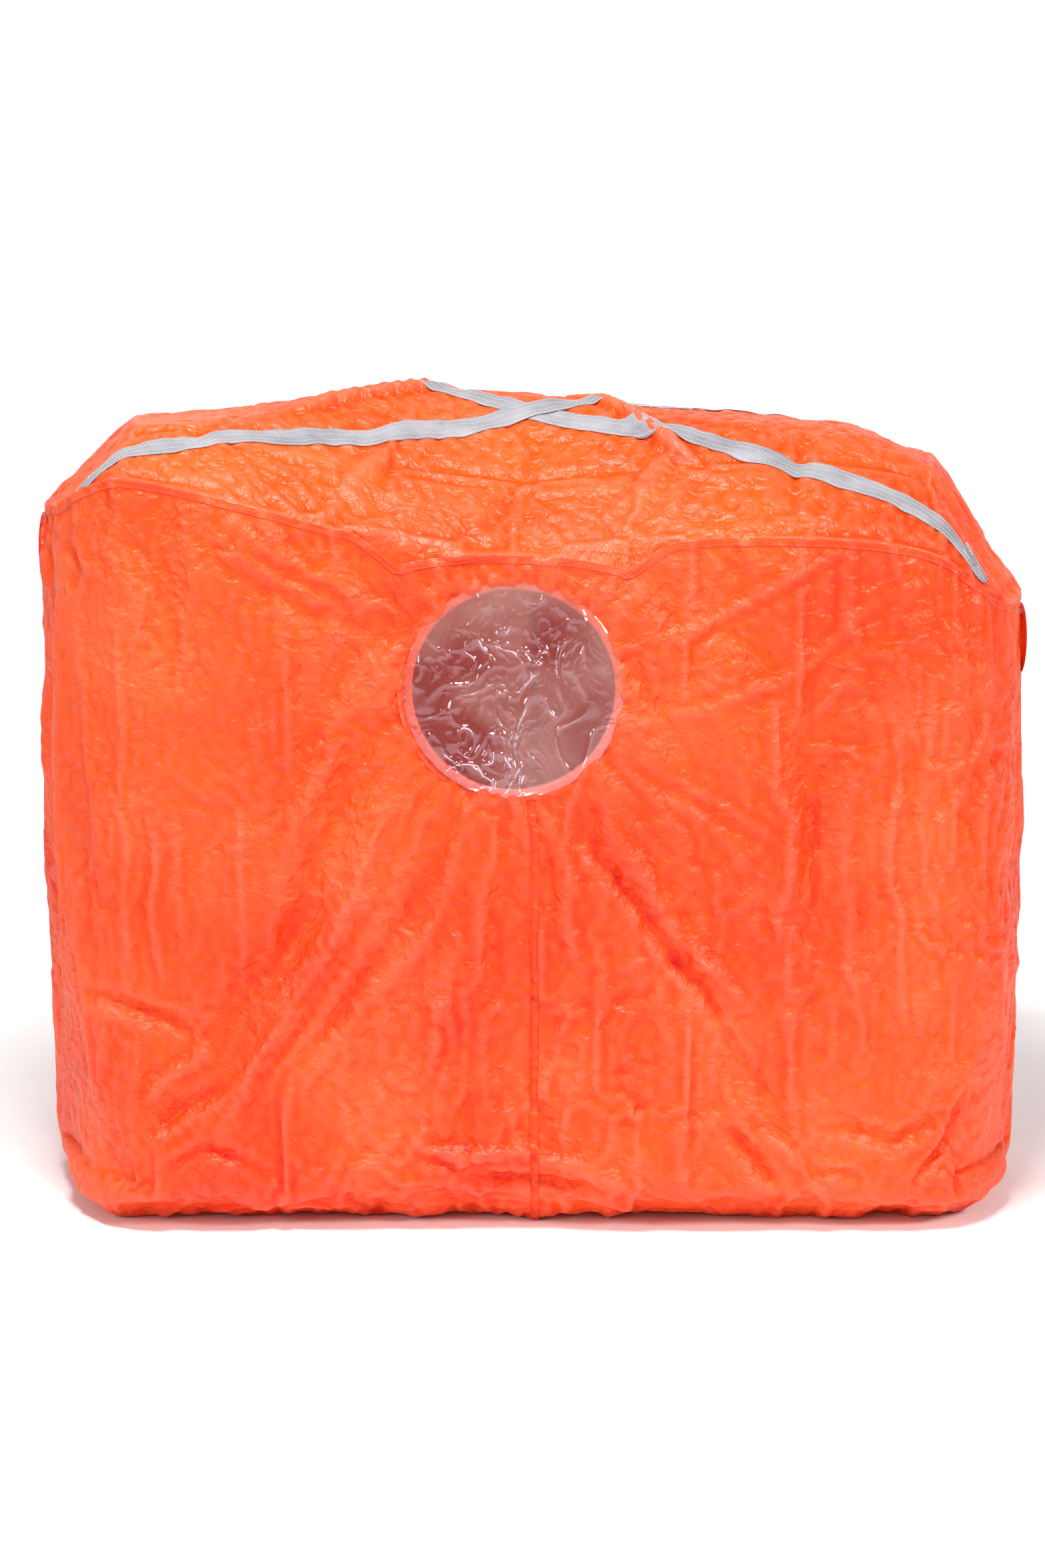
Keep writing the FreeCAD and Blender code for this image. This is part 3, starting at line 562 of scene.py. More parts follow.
def grid_normals(grid, wrap=False):
    """Unit normals of a grid of points, to the left of rows crossed with columns."""
    if wrap:
        along = np.roll(grid, -1, 0) - np.roll(grid, 1, 0)
    else:
        along = np.gradient(grid, axis=0)
    across = np.gradient(grid, axis=1)
    normal = np.cross(across, along)
    return normal / np.maximum(np.linalg.norm(normal, axis=-1, keepdims=True), 1e-12)


def crinkle(points, normals, flat_share):
    """Small sharp crinkles of thin coated cloth, in metres along the normal."""
    x, _, z = points.T
    warp = warped(points * 14, (21, 22, 23))
    strength = 0.55 + 0.45 * smooth_noise(points * 4.5, 24)
    low_middle = np.exp(-((x - 0.02) / 0.28) ** 2) * np.exp(-((z - 0.26) / 0.22) ** 2) * np.clip(-normals[:, 1],
                                                                                                 0, 1)
    strength = np.clip(strength + 0.8 * low_middle, 0.22, 1.5) * flat_share
    slanted = np.stack([x - 0.45 * z, points[:, 1], z + 0.45 * np.abs(x)], 1)

    def creases(place, scale, shift, salt, power):
        return 1 - np.abs(smooth_noise(place * np.array(scale) + shift * warp, salt)) ** power

    large = creases(slanted, (12.0, 12.0, 6.5), 0.8, 31, 0.8)
    hollow = creases(points, (15.0, 15.0, 10.0), -0.9, 34, 0.8)
    middle = creases(slanted, (30.0, 30.0, 18.0), 1.1, 32, 0.85)
    valley = creases(points, (36.0, 36.0, 27.0), -1.2, 35, 0.85)
    small = creases(slanted, (66.0, 66.0, 40.0), 1.4, 33, 0.9)
    return (0.0058 * (large - hollow) + 0.0028 * (middle - valley) + 0.0010 * (small - 0.6)) * strength


def crinkled(grid, normals, share):
    """Grid of points moved along their normals by a share of the crinkles."""
    depth = crinkle(grid.reshape(-1, 3), normals.reshape(-1, 3), share.ravel())
    return grid + normals * depth.reshape(share.shape)[..., None]


def read_at(stations, gone, values):
    """Points (n, 3) of a run read at stations along it."""
    return np.stack([np.interp(stations, gone, values[:, k]) for k in range(3)], 1)


def sew(name, runs, pitch=0.0036, length=0.0026, width=0.0007):
    """Lockstitch thread: one small rounded stitch each pitch along runs of (points, normals)."""
    ring = [(math.cos(a), math.sin(a)) for a in np.arange(5) * 2 * math.pi / 5]
    shape = [(-0.5, 0, 0)] + [(-0.3, c, s) for c, s in ring] + [(0.3, c, s) for c, s in ring] + [(0.5, 0, 0)]
    tris = []
    for i in range(5):
        j = (i + 1) % 5
        tris += [(0, 1 + j, 1 + i), (1 + i, 1 + j, 6 + j), (1 + i, 6 + j, 6 + i), (11, 6 + i, 6 + j)]
    shape, tris = np.array(shape), np.array(tris)
    points, faces, made = [], [], 0
    for line, normals in runs:
        gaps = np.linalg.norm(np.diff(line, axis=0), axis=1)
        gone = np.concatenate([[0], np.cumsum(gaps)])
        stations = np.arange(pitch / 2, gone[-1], pitch)
        if not len(stations):
            continue
        middle, up = (read_at(stations, gone, values) for values in (line, normals))
        way = read_at(stations + pitch / 2, gone, line) - read_at(stations - pitch / 2, gone, line)
        way /= np.maximum(np.linalg.norm(way, axis=1, keepdims=True), 1e-9)
        up = up - (up * way).sum(1, keepdims=True) * way
        up /= np.maximum(np.linalg.norm(up, axis=1, keepdims=True), 1e-9)
        side = np.cross(up, way)
        body = (middle[:, None] + way[:, None] * (shape[:, 0] * length)[None, :, None]
                + side[:, None] * (shape[:, 1] * width / 2)[None, :, None]
                + up[:, None] * (shape[:, 2] * width / 2 + width * 0.2)[None, :, None])
        points.append(body.reshape(-1, 3))
        faces.append((tris[None] + (made + 12 * np.arange(len(stations)))[:, None, None]).reshape(-1, 3))
        made += 12 * len(stations)
    return grid_mesh(name, np.concatenate(points), np.concatenate(faces))


def merged(name, parts):
    """One mesh from several (points, faces) with equal-sided faces."""
    points, faces, made = [], [], 0
    for p, f in parts:
        points.append(np.reshape(p, (-1, 3)))
        faces.append(np.reshape(f, (-1, np.shape(f)[-1])) + made)
        made += len(points[-1])
    return grid_mesh(name, np.concatenate(points), np.concatenate(faces))


def swept(profile, frames, wrap=False):
    """Grid of a profile (n, 2) carried along frames of (origins, sides, ups), as points and quads."""
    origins, sides, ups = frames
    points = origins[:, None] + profile[None, :, :1] * sides[:, None] + profile[None, :, 1:] * ups[:, None]
    return points, grid_quads(np.arange(points.shape[0] * points.shape[1]).reshape(points.shape[:2]), wrap)


# ---------------------------------------------------------------- materials

def finish_of(name):
    """New material: its tree and its shader."""
    made = bpy.data.materials.new(name)
    made.use_nodes = True
    return made, made.node_tree, made.node_tree.nodes["Principled BSDF"]


def own_place(tree):
    """The piece's own coordinates."""
    return add(tree, "ShaderNodeTexCoord").outputs["Object"]


def noise(tree, place, scale, detail, **more):
    """Noise from 0 to 1 at a place."""
    settings = {"Scale": scale, "Detail": detail, **more, "Vector": place}
    return add(tree, "ShaderNodeTexNoise", settings).outputs["Fac"]


def ranged(tree, value, from_low, from_high, to_low, to_high):
    """A value moved from one range to another, and kept inside it."""
    settings = {"From Min": from_low, "From Max": from_high, "To Min": to_low, "To Max": to_high}
    return add(tree, "ShaderNodeMapRange", {**settings, "Value": value}).outputs[0]


def ramp(tree, value, low_colour, high_colour, ends=None):
    """A colour between two, by a value."""
    made = add(tree, "ShaderNodeValToRGB", {"Fac": value})
    low, high = made.color_ramp.elements
    if ends:
        low.position, high.position = ends
    low.color, high.color = low_colour, high_colour
    return made.outputs["Color"]


def darker(hex_colour, share):
    """A share of a colour, as linear RGBA."""
    return [c * share for c in linear(hex_colour)[:3]] + [1]


def bumped(tree, strength, distance, height, under=None, **more):
    """Normal bent by heights, on top of another bump's normal if there is one."""
    settings = {"Strength": strength, "Distance": distance, **more, "Height": height}
    if under is not None:
        settings["Normal"] = under
    return add(tree, "ShaderNodeBump", settings).outputs[0]


def reckon(tree, operation, *values):
    """Result of a math operation on numbers and other nodes' outputs."""
    return add(tree, "ShaderNodeMath", {"operation": operation, **dict(enumerate(values))}).outputs[0]


def vector_reckon(tree, operation, *values):
    """A vector math node on vectors and other nodes' outputs."""
    return add(tree, "ShaderNodeVectorMath", {"operation": operation, **dict(enumerate(values))})


def cloth_pattern(tree):
    """Heights of rows of small embossed rings and of a ripstop grid, on the cloth's flat coordinates."""
    flat = add(tree, "ShaderNodeUVMap", {"uv_map": "flat_cloth"}).outputs[0]
    gaps = []
    for shift in ((0, 0, 0), (0.5, 0.5, 0)):
        scale = (1 / RING_PITCH, 1 / RING_PITCH * 0.577, 1)
        placed = add(tree, "ShaderNodeMapping", {"Location": shift, "Scale": scale, "Vector": flat}).outputs[0]
        cell = add(tree, "ShaderNodeTexVoronoi", {"Scale": 1.0, "Randomness": 0.0, "Vector": placed})
        # from the cell's centre, with the rows' squeeze taken out again
        gap = vector_reckon(tree, "SUBTRACT", placed, cell.outputs["Position"])
        back = vector_reckon(tree, "MULTIPLY", gap.outputs[0], (1, 1.733, 0))
        gaps.append(vector_reckon(tree, "LENGTH", back.outputs[0]).outputs["Value"])
    off = reckon(tree, "ABSOLUTE", reckon(tree, "SUBTRACT", reckon(tree, "MINIMUM", *gaps), RING_RADIUS))
    ring = ranged(tree, off, 0.0, 0.13, 1.0, 0.0)
    cut = add(tree, "ShaderNodeSeparateXYZ", {"Vector": flat})
    lines = []
    for axis in (0, 1):
        part = reckon(tree, "FRACT", reckon(tree, "MULTIPLY", cut.outputs[axis], 1 / RIPSTOP_PITCH))
        lines.append(ranged(tree, part, 0.0, 0.12, 1.0, 0.0))
    return ring, reckon(tree, "MAXIMUM", *lines)


# Cloth colours, the rings' colour being a painted highlight, and the pitches of its ripstop grid and of its embossed
# rings; the rings' radius is a share
CLOTH_DEEP = "F24010"
CLOTH_LIGHT = "FF5A22"
CLOTH_RING_HIGHLIGHT = "FF8A62"
CLOTH_THROUGH = "FF4A18"
RIPSTOP_PITCH = 0.0055
RING_PITCH = 0.0063
RING_RADIUS = 0.30


def coated_ripstop():
    """Polyurethane-coated nylon ripstop: thin, bright, slightly shiny and creased, and lets some light through."""
    made, tree, shader = finish_of("coated_nylon_ripstop_orange")
    place = own_place(tree)
    tone = ramp(tree, noise(tree, place, 3.2, 4.0, Roughness=0.55), linear(CLOTH_DEEP), linear(CLOTH_LIGHT),
                (0.34, 0.70))
    ring, grid = cloth_pattern(tree)
    # painted highlight: the rings are tinted paler only where the coating would catch the light, in patches
    patch = noise(tree, place, 7.0, 2.0)
    shown = reckon(tree, "MULTIPLY", ring, ranged(tree, patch, 0.48, 0.66, 0.0, 1.0))
    tinted = add(tree, "ShaderNodeMix", {"data_type": "RGBA"})
    fill(tree, tinted, {0: reckon(tree, "MULTIPLY", shown, 0.42), 6: tone, 7: linear(CLOTH_RING_HIGHLIGHT)})
    # painted light and shade: creases that bulge outwards are painted paler as a highlight, and hollow ones painted
    # deeper as shade
    bent = add(tree, "ShaderNodeNewGeometry").outputs["Pointiness"]
    wear_and_painted_crease_light = ranged(tree, bent, 0.42, 0.58, -0.065, 0.060)
    creased = add(tree, "ShaderNodeBrightContrast", {"Color": tinted.outputs[2], "Bright": wear_and_painted_crease_light})
    # creases finer than the mesh: ridges about 40 mm apart, small facets, then the grid and the rings
    warp = add(tree, "ShaderNodeTexNoise", {"Scale": 22.0, "Detail": 3.0, "Vector": place})
    moved = vector_reckon(tree, "MULTIPLY_ADD", warp.outputs["Color"], (0.05, 0.05, 0.05), place).outputs[0]
    facet = add(tree, "ShaderNodeTexVoronoi",
                {"feature": "F1", "Scale": 46.0, "Detail": 1.0, "Roughness": 0.5, "Vector": moved})
    streak = add(tree, "ShaderNodeMapping",
                 {"Scale": (1.0, 1.0, 0.34), "Rotation": (0, 0.5, 0), "Vector": moved}).outputs[0]
    crease = add(tree, "ShaderNodeTexNoise",
                 {"noise_type": "RIDGED_MULTIFRACTAL", "Scale": 25.0, "Detail": 1.6, "Roughness": 0.45,
                  "Distortion": 0.4, "Vector": streak})
    fine = bumped(tree, 1.0, 0.0036, crease.outputs["Fac"])
    folded = bumped(tree, 0.8, 0.0052, facet.outputs["Distance"], fine)
    pressed = bumped(tree, 0.25, 0.0003, reckon(tree, "MULTIPLY_ADD", grid, 0.7, ring), folded)
    fill(tree, shader, {
        "Base Color": creased.outputs[0], "Normal": pressed,
        "Roughness": ranged(tree, patch, 0.3, 0.7, 0.36, 0.50), "IOR": 1.5, "Specular IOR Level": 0.36,
        "Sheen Weight": 0.06, "Sheen Roughness": 0.4, "Sheen Tint": linear("FFB08C"),
    })
    through = add(tree, "ShaderNodeBsdfTranslucent", {"Color": linear(CLOTH_THROUGH), "Normal": folded})
    mixed_finish(tree, 0.08, shader, through)
    return made


def mixed_shaders(tree, share, first, second):
    """A share of the second shader in the first."""
    return add(tree, "ShaderNodeMixShader", {0: share, 1: first.outputs[0], 2: second.outputs[0]})


def mixed_finish(tree, share, first, second):
    """Material's surface: a share of the second shader in the first."""
    both = mixed_shaders(tree, share, first, second)
    fill(tree, tree.nodes["Material Output"], {"Surface": both.outputs[0]})


def plain_cloth(name, colour, pitch):
    """Woven cloth with a fine over-and-under thread grain at the given pitch in metres."""
    made, tree, shader = finish_of(name)
    place = own_place(tree)
    tone = ramp(tree, noise(tree, place, 26.0, 4.0), darker(colour, 0.8), linear(colour))
    weave = add(tree, "ShaderNodeTexVoronoi", {"Scale": 1 / pitch, "Randomness": 0.25, "Vector": place})
    normal = bumped(tree, 0.5, pitch * 0.3, weave.outputs["Distance"])
    fill(tree, shader, {"Base Color": tone, "Normal": normal, "Roughness": 0.75, "Sheen Weight": 0.2})
    return made


def moulded_plastic(name, colour, rough=0.42):
    """Injection-moulded acetal: satin, with a faint spark-eroded grain."""
    made, tree, shader = finish_of(name)
    place = own_place(tree)
    normal = bumped(tree, 0.25, 0.0001, noise(tree, place, 1400.0, 3.0))
    wear_and_painted_crease_light = noise(tree, place, 90.0, 5.0)
    pale = [min(1, c * 1.5 + 0.004) for c in linear(colour)[:3]] + [1]
    fill(tree, shader, {"Base Color": ramp(tree, wear_and_painted_crease_light, linear(colour), pale), "Normal": normal,
                        "Roughness": ranged(tree, wear_and_painted_crease_light, 0.3, 0.75, rough - 0.07, rough + 0.1)})
    return made


def bare_metal(name, colour, rough):
    """Drawn and tumbled metal with fine scratches."""
    made, tree, shader = finish_of(name)
    wear = noise(tree, own_place(tree), 320.0, 6.0, Roughness=0.7)
    fill(tree, shader, {"Base Color": ramp(tree, wear, darker(colour, 0.6), linear(colour)),
                        "Normal": bumped(tree, 0.15, 0.00005, wear), "Metallic": 1.0,
                        "Roughness": ranged(tree, wear, 0.3, 0.7, rough - 0.08, rough + 0.15)})
    return made


def braided_cord():
    """Braided polyester over elastic: diagonal strands, matt."""
    made, tree, shader = finish_of("braided_elastic_cord_black")
    strands = add(tree, "ShaderNodeTexVoronoi",
                  {"Scale": 1 / 0.0011, "Randomness": 0.15, "Vector": own_place(tree)}).outputs["Distance"]
    fill(tree, shader, {"Base Color": ramp(tree, strands, linear("3A3A3E"), linear("101012")),
                        "Normal": bumped(tree, 0.6, 0.0003, strands, invert=True), "Roughness": 0.7})
    return made


def reflective_weave():
    """Retroreflective tape: grey glass-bead coating on woven backing, with lengthwise ribs and faint stains."""
    made, tree, shader = finish_of("retroreflective_tape_grey")
    place = own_place(tree)
    flat = add(tree, "ShaderNodeUVMap", {"uv_map": "flat_cloth"}).outputs[0]
    cut = add(tree, "ShaderNodeSeparateXYZ", {"Vector": flat})
    rib = reckon(tree, "SINE", reckon(tree, "MULTIPLY", cut.outputs[1], 2 * math.pi / 0.0032))
    grain = bumped(tree, 0.35, 0.0002, noise(tree, place, 900.0, 2.0))
    stained = ramp(tree, noise(tree, place, 16.0, 5.0), linear("77767D"), linear("979599"), (0.3, 0.7))
    fill(tree, shader, {"Base Color": stained, "Normal": bumped(tree, 0.45, 0.0003, rib, grain),
                        "Metallic": 0.15, "Roughness": 0.6})
    return made


def clear_film():
    """Clear polyurethane film: sharp reflections from its creases, faintly hazy, seen through."""
    made, tree, shader = finish_of("clear_polyurethane_film")
    place = own_place(tree)
    normal = bumped(tree, 0.06, 0.002, noise(tree, place, 34.0, 5.0))
    clear = add(tree, "ShaderNodeBsdfTransparent", {"Color": linear("F6EADF")})
    fill(tree, shader, {"Base Color": linear("F0CBBB"), "Roughness": 0.05, "IOR": 1.5, "Normal": normal})
    gloss = add(tree, "ShaderNodeBsdfGlossy", {"Color": linear("F4F2FF"), "Roughness": 0.05, "Normal": normal})
    edge = add(tree, "ShaderNodeLayerWeight", {"Blend": 0.30, "Normal": normal}).outputs["Fresnel"]
    # haze, thicker in patches
    haze = ranged(tree, noise(tree, place, 6.5, 2.0), 0.42, 0.62, 0.04, 0.19)
    mixed_finish(tree, ranged(tree, edge, 0.0, 1.0, 0.075, 0.8), mixed_shaders(tree, haze, clear, shader),
                 gloss)
    return made


def sewing_thread(name, colour):
    """Twisted polyester thread, soft and matt."""
    made, tree, shader = finish_of(name)
    fuzz = noise(tree, own_place(tree), 2500.0, 2.0)
    fill(tree, shader, {"Base Color": ramp(tree, fuzz, darker(colour, 0.75), linear(colour)),
                        "Roughness": 0.65, "Sheen Weight": 0.3})
    return made


# ---------------------------------------------------------------- the bag

def drawn_in(points):
    """How far the corners of the bag draw in towards its middle, and its ends lean in towards the top."""
    x, y, z = points.T
    near_end = np.clip((np.abs(x) - 0.45) / 0.21, 0, 1)
    near_end = near_end * near_end * (3 - 2 * near_end)
    off_middle = np.clip(np.abs(y) / 0.13, 0, 1) ** 1.5
    lean = np.clip((z - 0.60) / 0.40, 0, 1) ** 1.3
    return -np.sign(x) * near_end * np.clip(z / FOOT, 0, 1) * (0.034 * off_middle + 0.013 * lean)


def foot_lift(points):
    """How far the turned-in foot of the walls stands off the ground, unevenly, where the cloth bunches."""
    x, y, z = points.T
    uneven = smooth_noise(np.stack([x * 6.5, y * 6.5, 0 * z], 1), 18)
    small = smooth_noise(np.stack([x * 17, y * 17, 0 * z], 1), 19)
    outer = np.clip((np.maximum(np.abs(x) - HALF_LENGTH, np.abs(y) - HALF_DEPTH) + FOOT) / 0.05, 0, 1)
    return outer * (0.009 + 0.008 * uneven + 0.004 * small) * np.exp(-z / 0.05)


def touching(hole, shape):
    """Which points of a grid touch a hole's quads."""
    near = np.zeros(shape, bool)
    near[:, :-1] |= hole
    near[:, 1:] |= hole
    return near | np.roll(near, 1, 0)


def join_roof_edge(roof, seam):
    """Puts the fine roof grid's edge on the walls' fine top row."""
    a = LONG_STEPS
    c = a + 2 * END_STEPS + 2 * LONG_STEPS
    d = c + 2 * END_STEPS
    roof[:, 0] = seam[[(d + i) % (2 * AROUND) for i in range(2 * LONG_STEPS + 1)]]
    roof[:, -1] = seam[[c - i for i in range(2 * LONG_STEPS + 1)]]
    roof[0, :] = seam[[d - j for j in range(2 * END_STEPS + 1)]]
    roof[-1, :] = seam[[a + j for j in range(2 * END_STEPS + 1)]]


# How firmly the simulation holds the cloth to its start, from 0 to 1, and how far in metres it may move it
HOLD_WALL = 0.05
HOLD_ROOF = 0.25
HOLD_SEAM = 0.7
HOLD_FOOT = 0.3
HOLD_FAST = 1.0
MOST_MOVE = 0.018
MOST_OUT = 0.004
# Depth past which the deepest folds are pressed back, how much more they keep, and the roof's share of crinkles
DEEP_FROM = 0.274
DEEP_MORE = 0.006
ROOF_CRINKLE = 0.45


def hung_start(wall_index, roof_index, walls, roof, hole):
    """The cloth's points in their first folds, let settle: one list for walls and roof."""
    points = np.concatenate([walls.reshape(-1, 3), roof[1:-1, 1:-1].reshape(-1, 3)])
    wall_quads, roof_quads = grid_quads(wall_index, True), grid_quads(roof_index)[..., ::-1]
    faces = np.concatenate([wall_quads.reshape(-1, 4), roof_quads.reshape(-1, 4)])
    normals = np.zeros_like(points)
    normals[wall_index] = grid_normals(walls, True)
    normals[roof_index[1:-1, 1:-1]] = -grid_normals(roof)[1:-1, 1:-1]
    lift = start_folds(points, normals)
    weights = np.full(len(points), HOLD_WALL)
    weights[roof_index] = HOLD_ROOF
    weights[wall_index[:, 0]] = HOLD_SEAM
    weights[wall_index[:, WALL_ROWS + FOOT_ROWS // 2:]] = HOLD_FOOT
    weights[wall_index[:, WALL_ROWS + FOOT_ROWS:]] = HOLD_FAST
    held = touching(hole, (AROUND, ROWS + 1))
    weights[wall_index[held]] = HOLD_FAST
    lift[wall_index[held]] = 0
    lift[wall_index[:, WALL_ROWS + FOOT_ROWS:]] = 0
    start = points + normals * lift[:, None]
    start[:, 0] += drawn_in(points)
    start[:, 2] += foot_lift(points)
    # the cloth keeps clear of the ground
    start[:, 2] = np.maximum(start[:, 2], 0.0)
    moved = simulate(start, faces, weights) - start
    reach = np.linalg.norm(moved, axis=1, keepdims=True)
    moved *= np.minimum(1, MOST_MOVE / np.maximum(reach, 1e-9))
    outward = (moved * normals).sum(1)
    moved -= normals * np.maximum(outward - MOST_OUT, 0)[:, None] * np.abs(normals[:, :1])
    start = start + moved
    start[:, 2] = np.maximum(start[:, 2], 0.0)
    return start


def settled_bag():
    """The bag's cloth as it hangs: fine wall and roof grids with normals, flat coordinates and hole mask."""
    walls, flat, hole = wall_grid()
    roof = roof_grid(walls[:, 0])
    roof_flat = finer_both(roof[..., :2])
    wall_index, roof_index = joined_indices()
    hung = hung_start(wall_index, roof_index, walls, roof, hole)
    walls, roof = finer_both(hung[wall_index], True), finer_both(hung[roof_index])
    flat = finer_both(np.concatenate([flat, flat[:1] + (column_total(), 0)]))
    hole = np.repeat(np.repeat(hole, 2, 0), 2, 1)
    join_roof_edge(roof, walls[:, 0])
    wall_normals, roof_normals = grid_normals(walls, True), -grid_normals(roof)
    # crinkles fade out at seams, holes and the hem
    rows = np.arange(walls.shape[1])
    edge = np.clip(rows / 5, 0, 1) * np.clip((walls.shape[1] - 1 - rows) / 6, 0, 1)
    share = np.repeat(edge[None], walls.shape[0], 0)
    share[touching(hole, share.shape)] = 0
    walls = crinkled(walls, wall_normals, share)
    i, j = np.meshgrid(np.arange(roof.shape[0]), np.arange(roof.shape[1]), indexing="ij")
    rim = np.minimum(np.minimum(i, roof.shape[0] - 1 - i), np.minimum(j, roof.shape[1] - 1 - j))
    roof = crinkled(roof, roof_normals, np.clip(rim / 5, 0, 1) * ROOF_CRINKLE)
    walls[..., 2] = np.maximum(walls[..., 2], 0.0)
    deep = np.abs(walls[..., 1])
    pressed = DEEP_FROM + DEEP_MORE * np.tanh((deep - DEEP_FROM) / DEEP_MORE)
    walls[..., 1] = np.sign(walls[..., 1]) * np.where(deep > DEEP_FROM, pressed, deep)
    join_roof_edge(roof, walls[:, 0])
    return walls, grid_normals(walls, True), flat, hole, roof, -grid_normals(roof), roof_flat


def corner_flats(flat, keep=None):
    """Flat coordinates of each quad's corners, from a grid of them."""
    corners = np.stack([flat[:-1, :-1], flat[:-1, 1:], flat[1:, 1:], flat[1:, :-1]], 2)
    return corners.reshape(-1, 2) if keep is None else corners[keep].reshape(-1, 2)


walls, wall_normals, wall_flat, hole_mask, roof, roof_normals, roof_flat = settled_bag()
COLUMNS = walls.shape[0]
ripstop = coated_ripstop()
orange_thread = sewing_thread("orange_polyester_thread", "E2521A")
pale_thread = sewing_thread("off_white_polyester_thread", "D9D2CC")
film = clear_film()
tape_cloth = reflective_weave()
seat_cloth = plain_cloth("coated_polyester_seat_cloth", "2B2D31", 0.0009)
brass = bare_metal("brass_eyelet", "B08D4A", 0.32)
spring_steel = bare_metal("spring_steel_wire", "A8A9AB", 0.3)
lock_plastic = moulded_plastic("acetal_cord_lock_black", "141416")
braid = braided_cord()


def dress(piece, material, body="shelter", nodes=()):
    """Gives a piece its material, body and the CAD nodes it stands for."""
    piece.data.materials.clear()
    piece.data.materials.append(material)
    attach(piece, body)
    if nodes:
        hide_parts(*nodes)
        piece.name = nodes[0] + "_cloth"
    return piece


def wall_side(name, first, last):
    """One wall panel: the wall grid's columns from first to last, without the holes."""
    index = np.arange(COLUMNS * walls.shape[1]).reshape(COLUMNS, -1)
    quads = grid_quads(index, True)[first:last]
    keep = ~hole_mask[first:last]
    return dress(grid_mesh(name, walls, quads[keep], corner_flats(wall_flat[first:last + 1], keep)), ripstop,
                 nodes=[name])


right_wall = wall_side("right_wall_panel", 0, COLUMNS // 2)
left_wall = wall_side("left_wall_panel", COLUMNS // 2, COLUMNS)


def seam_offset(depth, lift):
    """Points and normals right round the walls, a depth down from the roof seam and lifted off the cloth."""
    drops = np.linalg.norm(np.diff(walls[:, :6], axis=1), axis=2).cumsum(1)
    drops = np.concatenate([np.zeros((COLUMNS, 1)), drops], 1)
    line, normal = np.zeros((COLUMNS, 3)), np.zeros((COLUMNS, 3))
    for k in range(3):
        for i in range(COLUMNS):
            line[i, k] = np.interp(depth, drops[i], walls[i, :6, k])
            normal[i, k] = np.interp(depth, drops[i], wall_normals[i, :6, k])
    return line + normal * lift, normal


def roof_panel():
    """Roof cloth and its felled edge, folded under and lapped down over the walls."""
    index = np.arange(roof[..., 0].size).reshape(roof.shape[:2])
    quads = grid_quads(index)[..., ::-1].reshape(-1, 4)
    flats = corner_flats(roof_flat).reshape(-1, 4, 2)[:, ::-1].reshape(-1, 2)
    steps = ((0.0, 0.0), (0.0015, 0.0011), (0.0045, 0.0012), (0.0085, 0.0010), (0.0112, 0.0014),
             (0.0122, 0.0011), (0.0124, 0.0002))
    band = np.stack([seam_offset(depth, lift)[0] for depth, lift in steps], 1)
    band_index = roof[..., 0].size + np.arange(band[..., 0].size).reshape(band.shape[:2])
    band_quads = grid_quads(band_index, True)
    around = np.concatenate([wall_flat[:-1, 0, 0], [column_total()]])
    down = np.array([1.0 - depth for depth, _ in steps])
    band_flat = np.stack(np.broadcast_arrays(around[:, None], down[None, :]), -1)
    points = np.concatenate([roof.reshape(-1, 3), band.reshape(-1, 3)])
    faces = np.concatenate([quads, band_quads.reshape(-1, 4)])
    corners = np.concatenate([flats, corner_flats(band_flat)])
    return dress(grid_mesh("roof_panel", points, faces, corners), ripstop,
                 nodes=["roof_panel"])


roof_cloth = roof_panel()


def closed(line, normals):
    """A run round the bag joined to its own start."""
    return np.concatenate([line, line[:1]]), np.concatenate([normals, normals[:1]])


seam_thread = dress(sew("roof_seam_stitching",
                        [closed(*seam_offset(0.0022, 0.0013)), closed(*seam_offset(0.0095, 0.0013))]),
                    orange_thread)


SEAM_FROM_ROW = 8
SEAM_PROFILE = np.array([(-0.0062, 0.0001), (-0.0056, 0.0010), (0.0, 0.0012), (0.0052, 0.0010),
                         (0.0060, 0.0014),
                         (0.0064, 0.0001)])


def centre_seam_runs():
    """Two rows of stitches down the front and back centre seams, and the low ridge of cloth between them."""
    runs, bands = [], []
    for column in (0, COLUMNS // 2):
        line, normal = walls[column], wall_normals[column]
        side = np.cross(normal, np.gradient(line, axis=0))
        side /= np.linalg.norm(side, axis=1, keepdims=True)
        at_window = (np.abs(line[:, 2] - WINDOW[1]) < FILM_RADIUS * 0.99) & (column == 0)
        pieces, start = [], SEAM_FROM_ROW
        for i in range(SEAM_FROM_ROW, len(line)):
            if at_window[i]:
                if i - start > 3:
                    pieces.append((start, i))
                start = i + 1
        pieces.append((start, len(line)))
        for a, b in pieces:
            if b - a < 4:
                continue
            for shift in (-0.0042, 0.0042):
                run = line[a:b] + side[a:b] * shift + normal[a:b] * 0.0013
                above = run[:, 2] > 0.001
                runs.append((run[above], normal[a:b][above]))
            band, faces = swept(SEAM_PROFILE, (line[a:b], side[a:b], normal[a:b]))
            band[..., 2] = np.maximum(band[..., 2], 0.0)
            bands.append((band, faces))
    return runs, bands


seam_runs, seam_bands = centre_seam_runs()
dress(merged("centre_seam_folds", seam_bands), ripstop)
dress(sew("centre_seam_stitching", seam_runs), orange_thread)


# ---------------------------------------------------------------- window

def ring_frames(radius, y, steps=240):
    """Origins, outward sides and forward ups round a circle that faces the front."""
    turn = np.arange(steps) * 2 * math.pi / steps
    side = np.stack([np.cos(turn), np.zeros(steps), np.sin(turn)], 1)
    origin = np.array([WINDOW[0], y, WINDOW[1]]) + radius * side
    return origin, side, np.tile((0.0, -1.0, 0.0), (steps, 1))


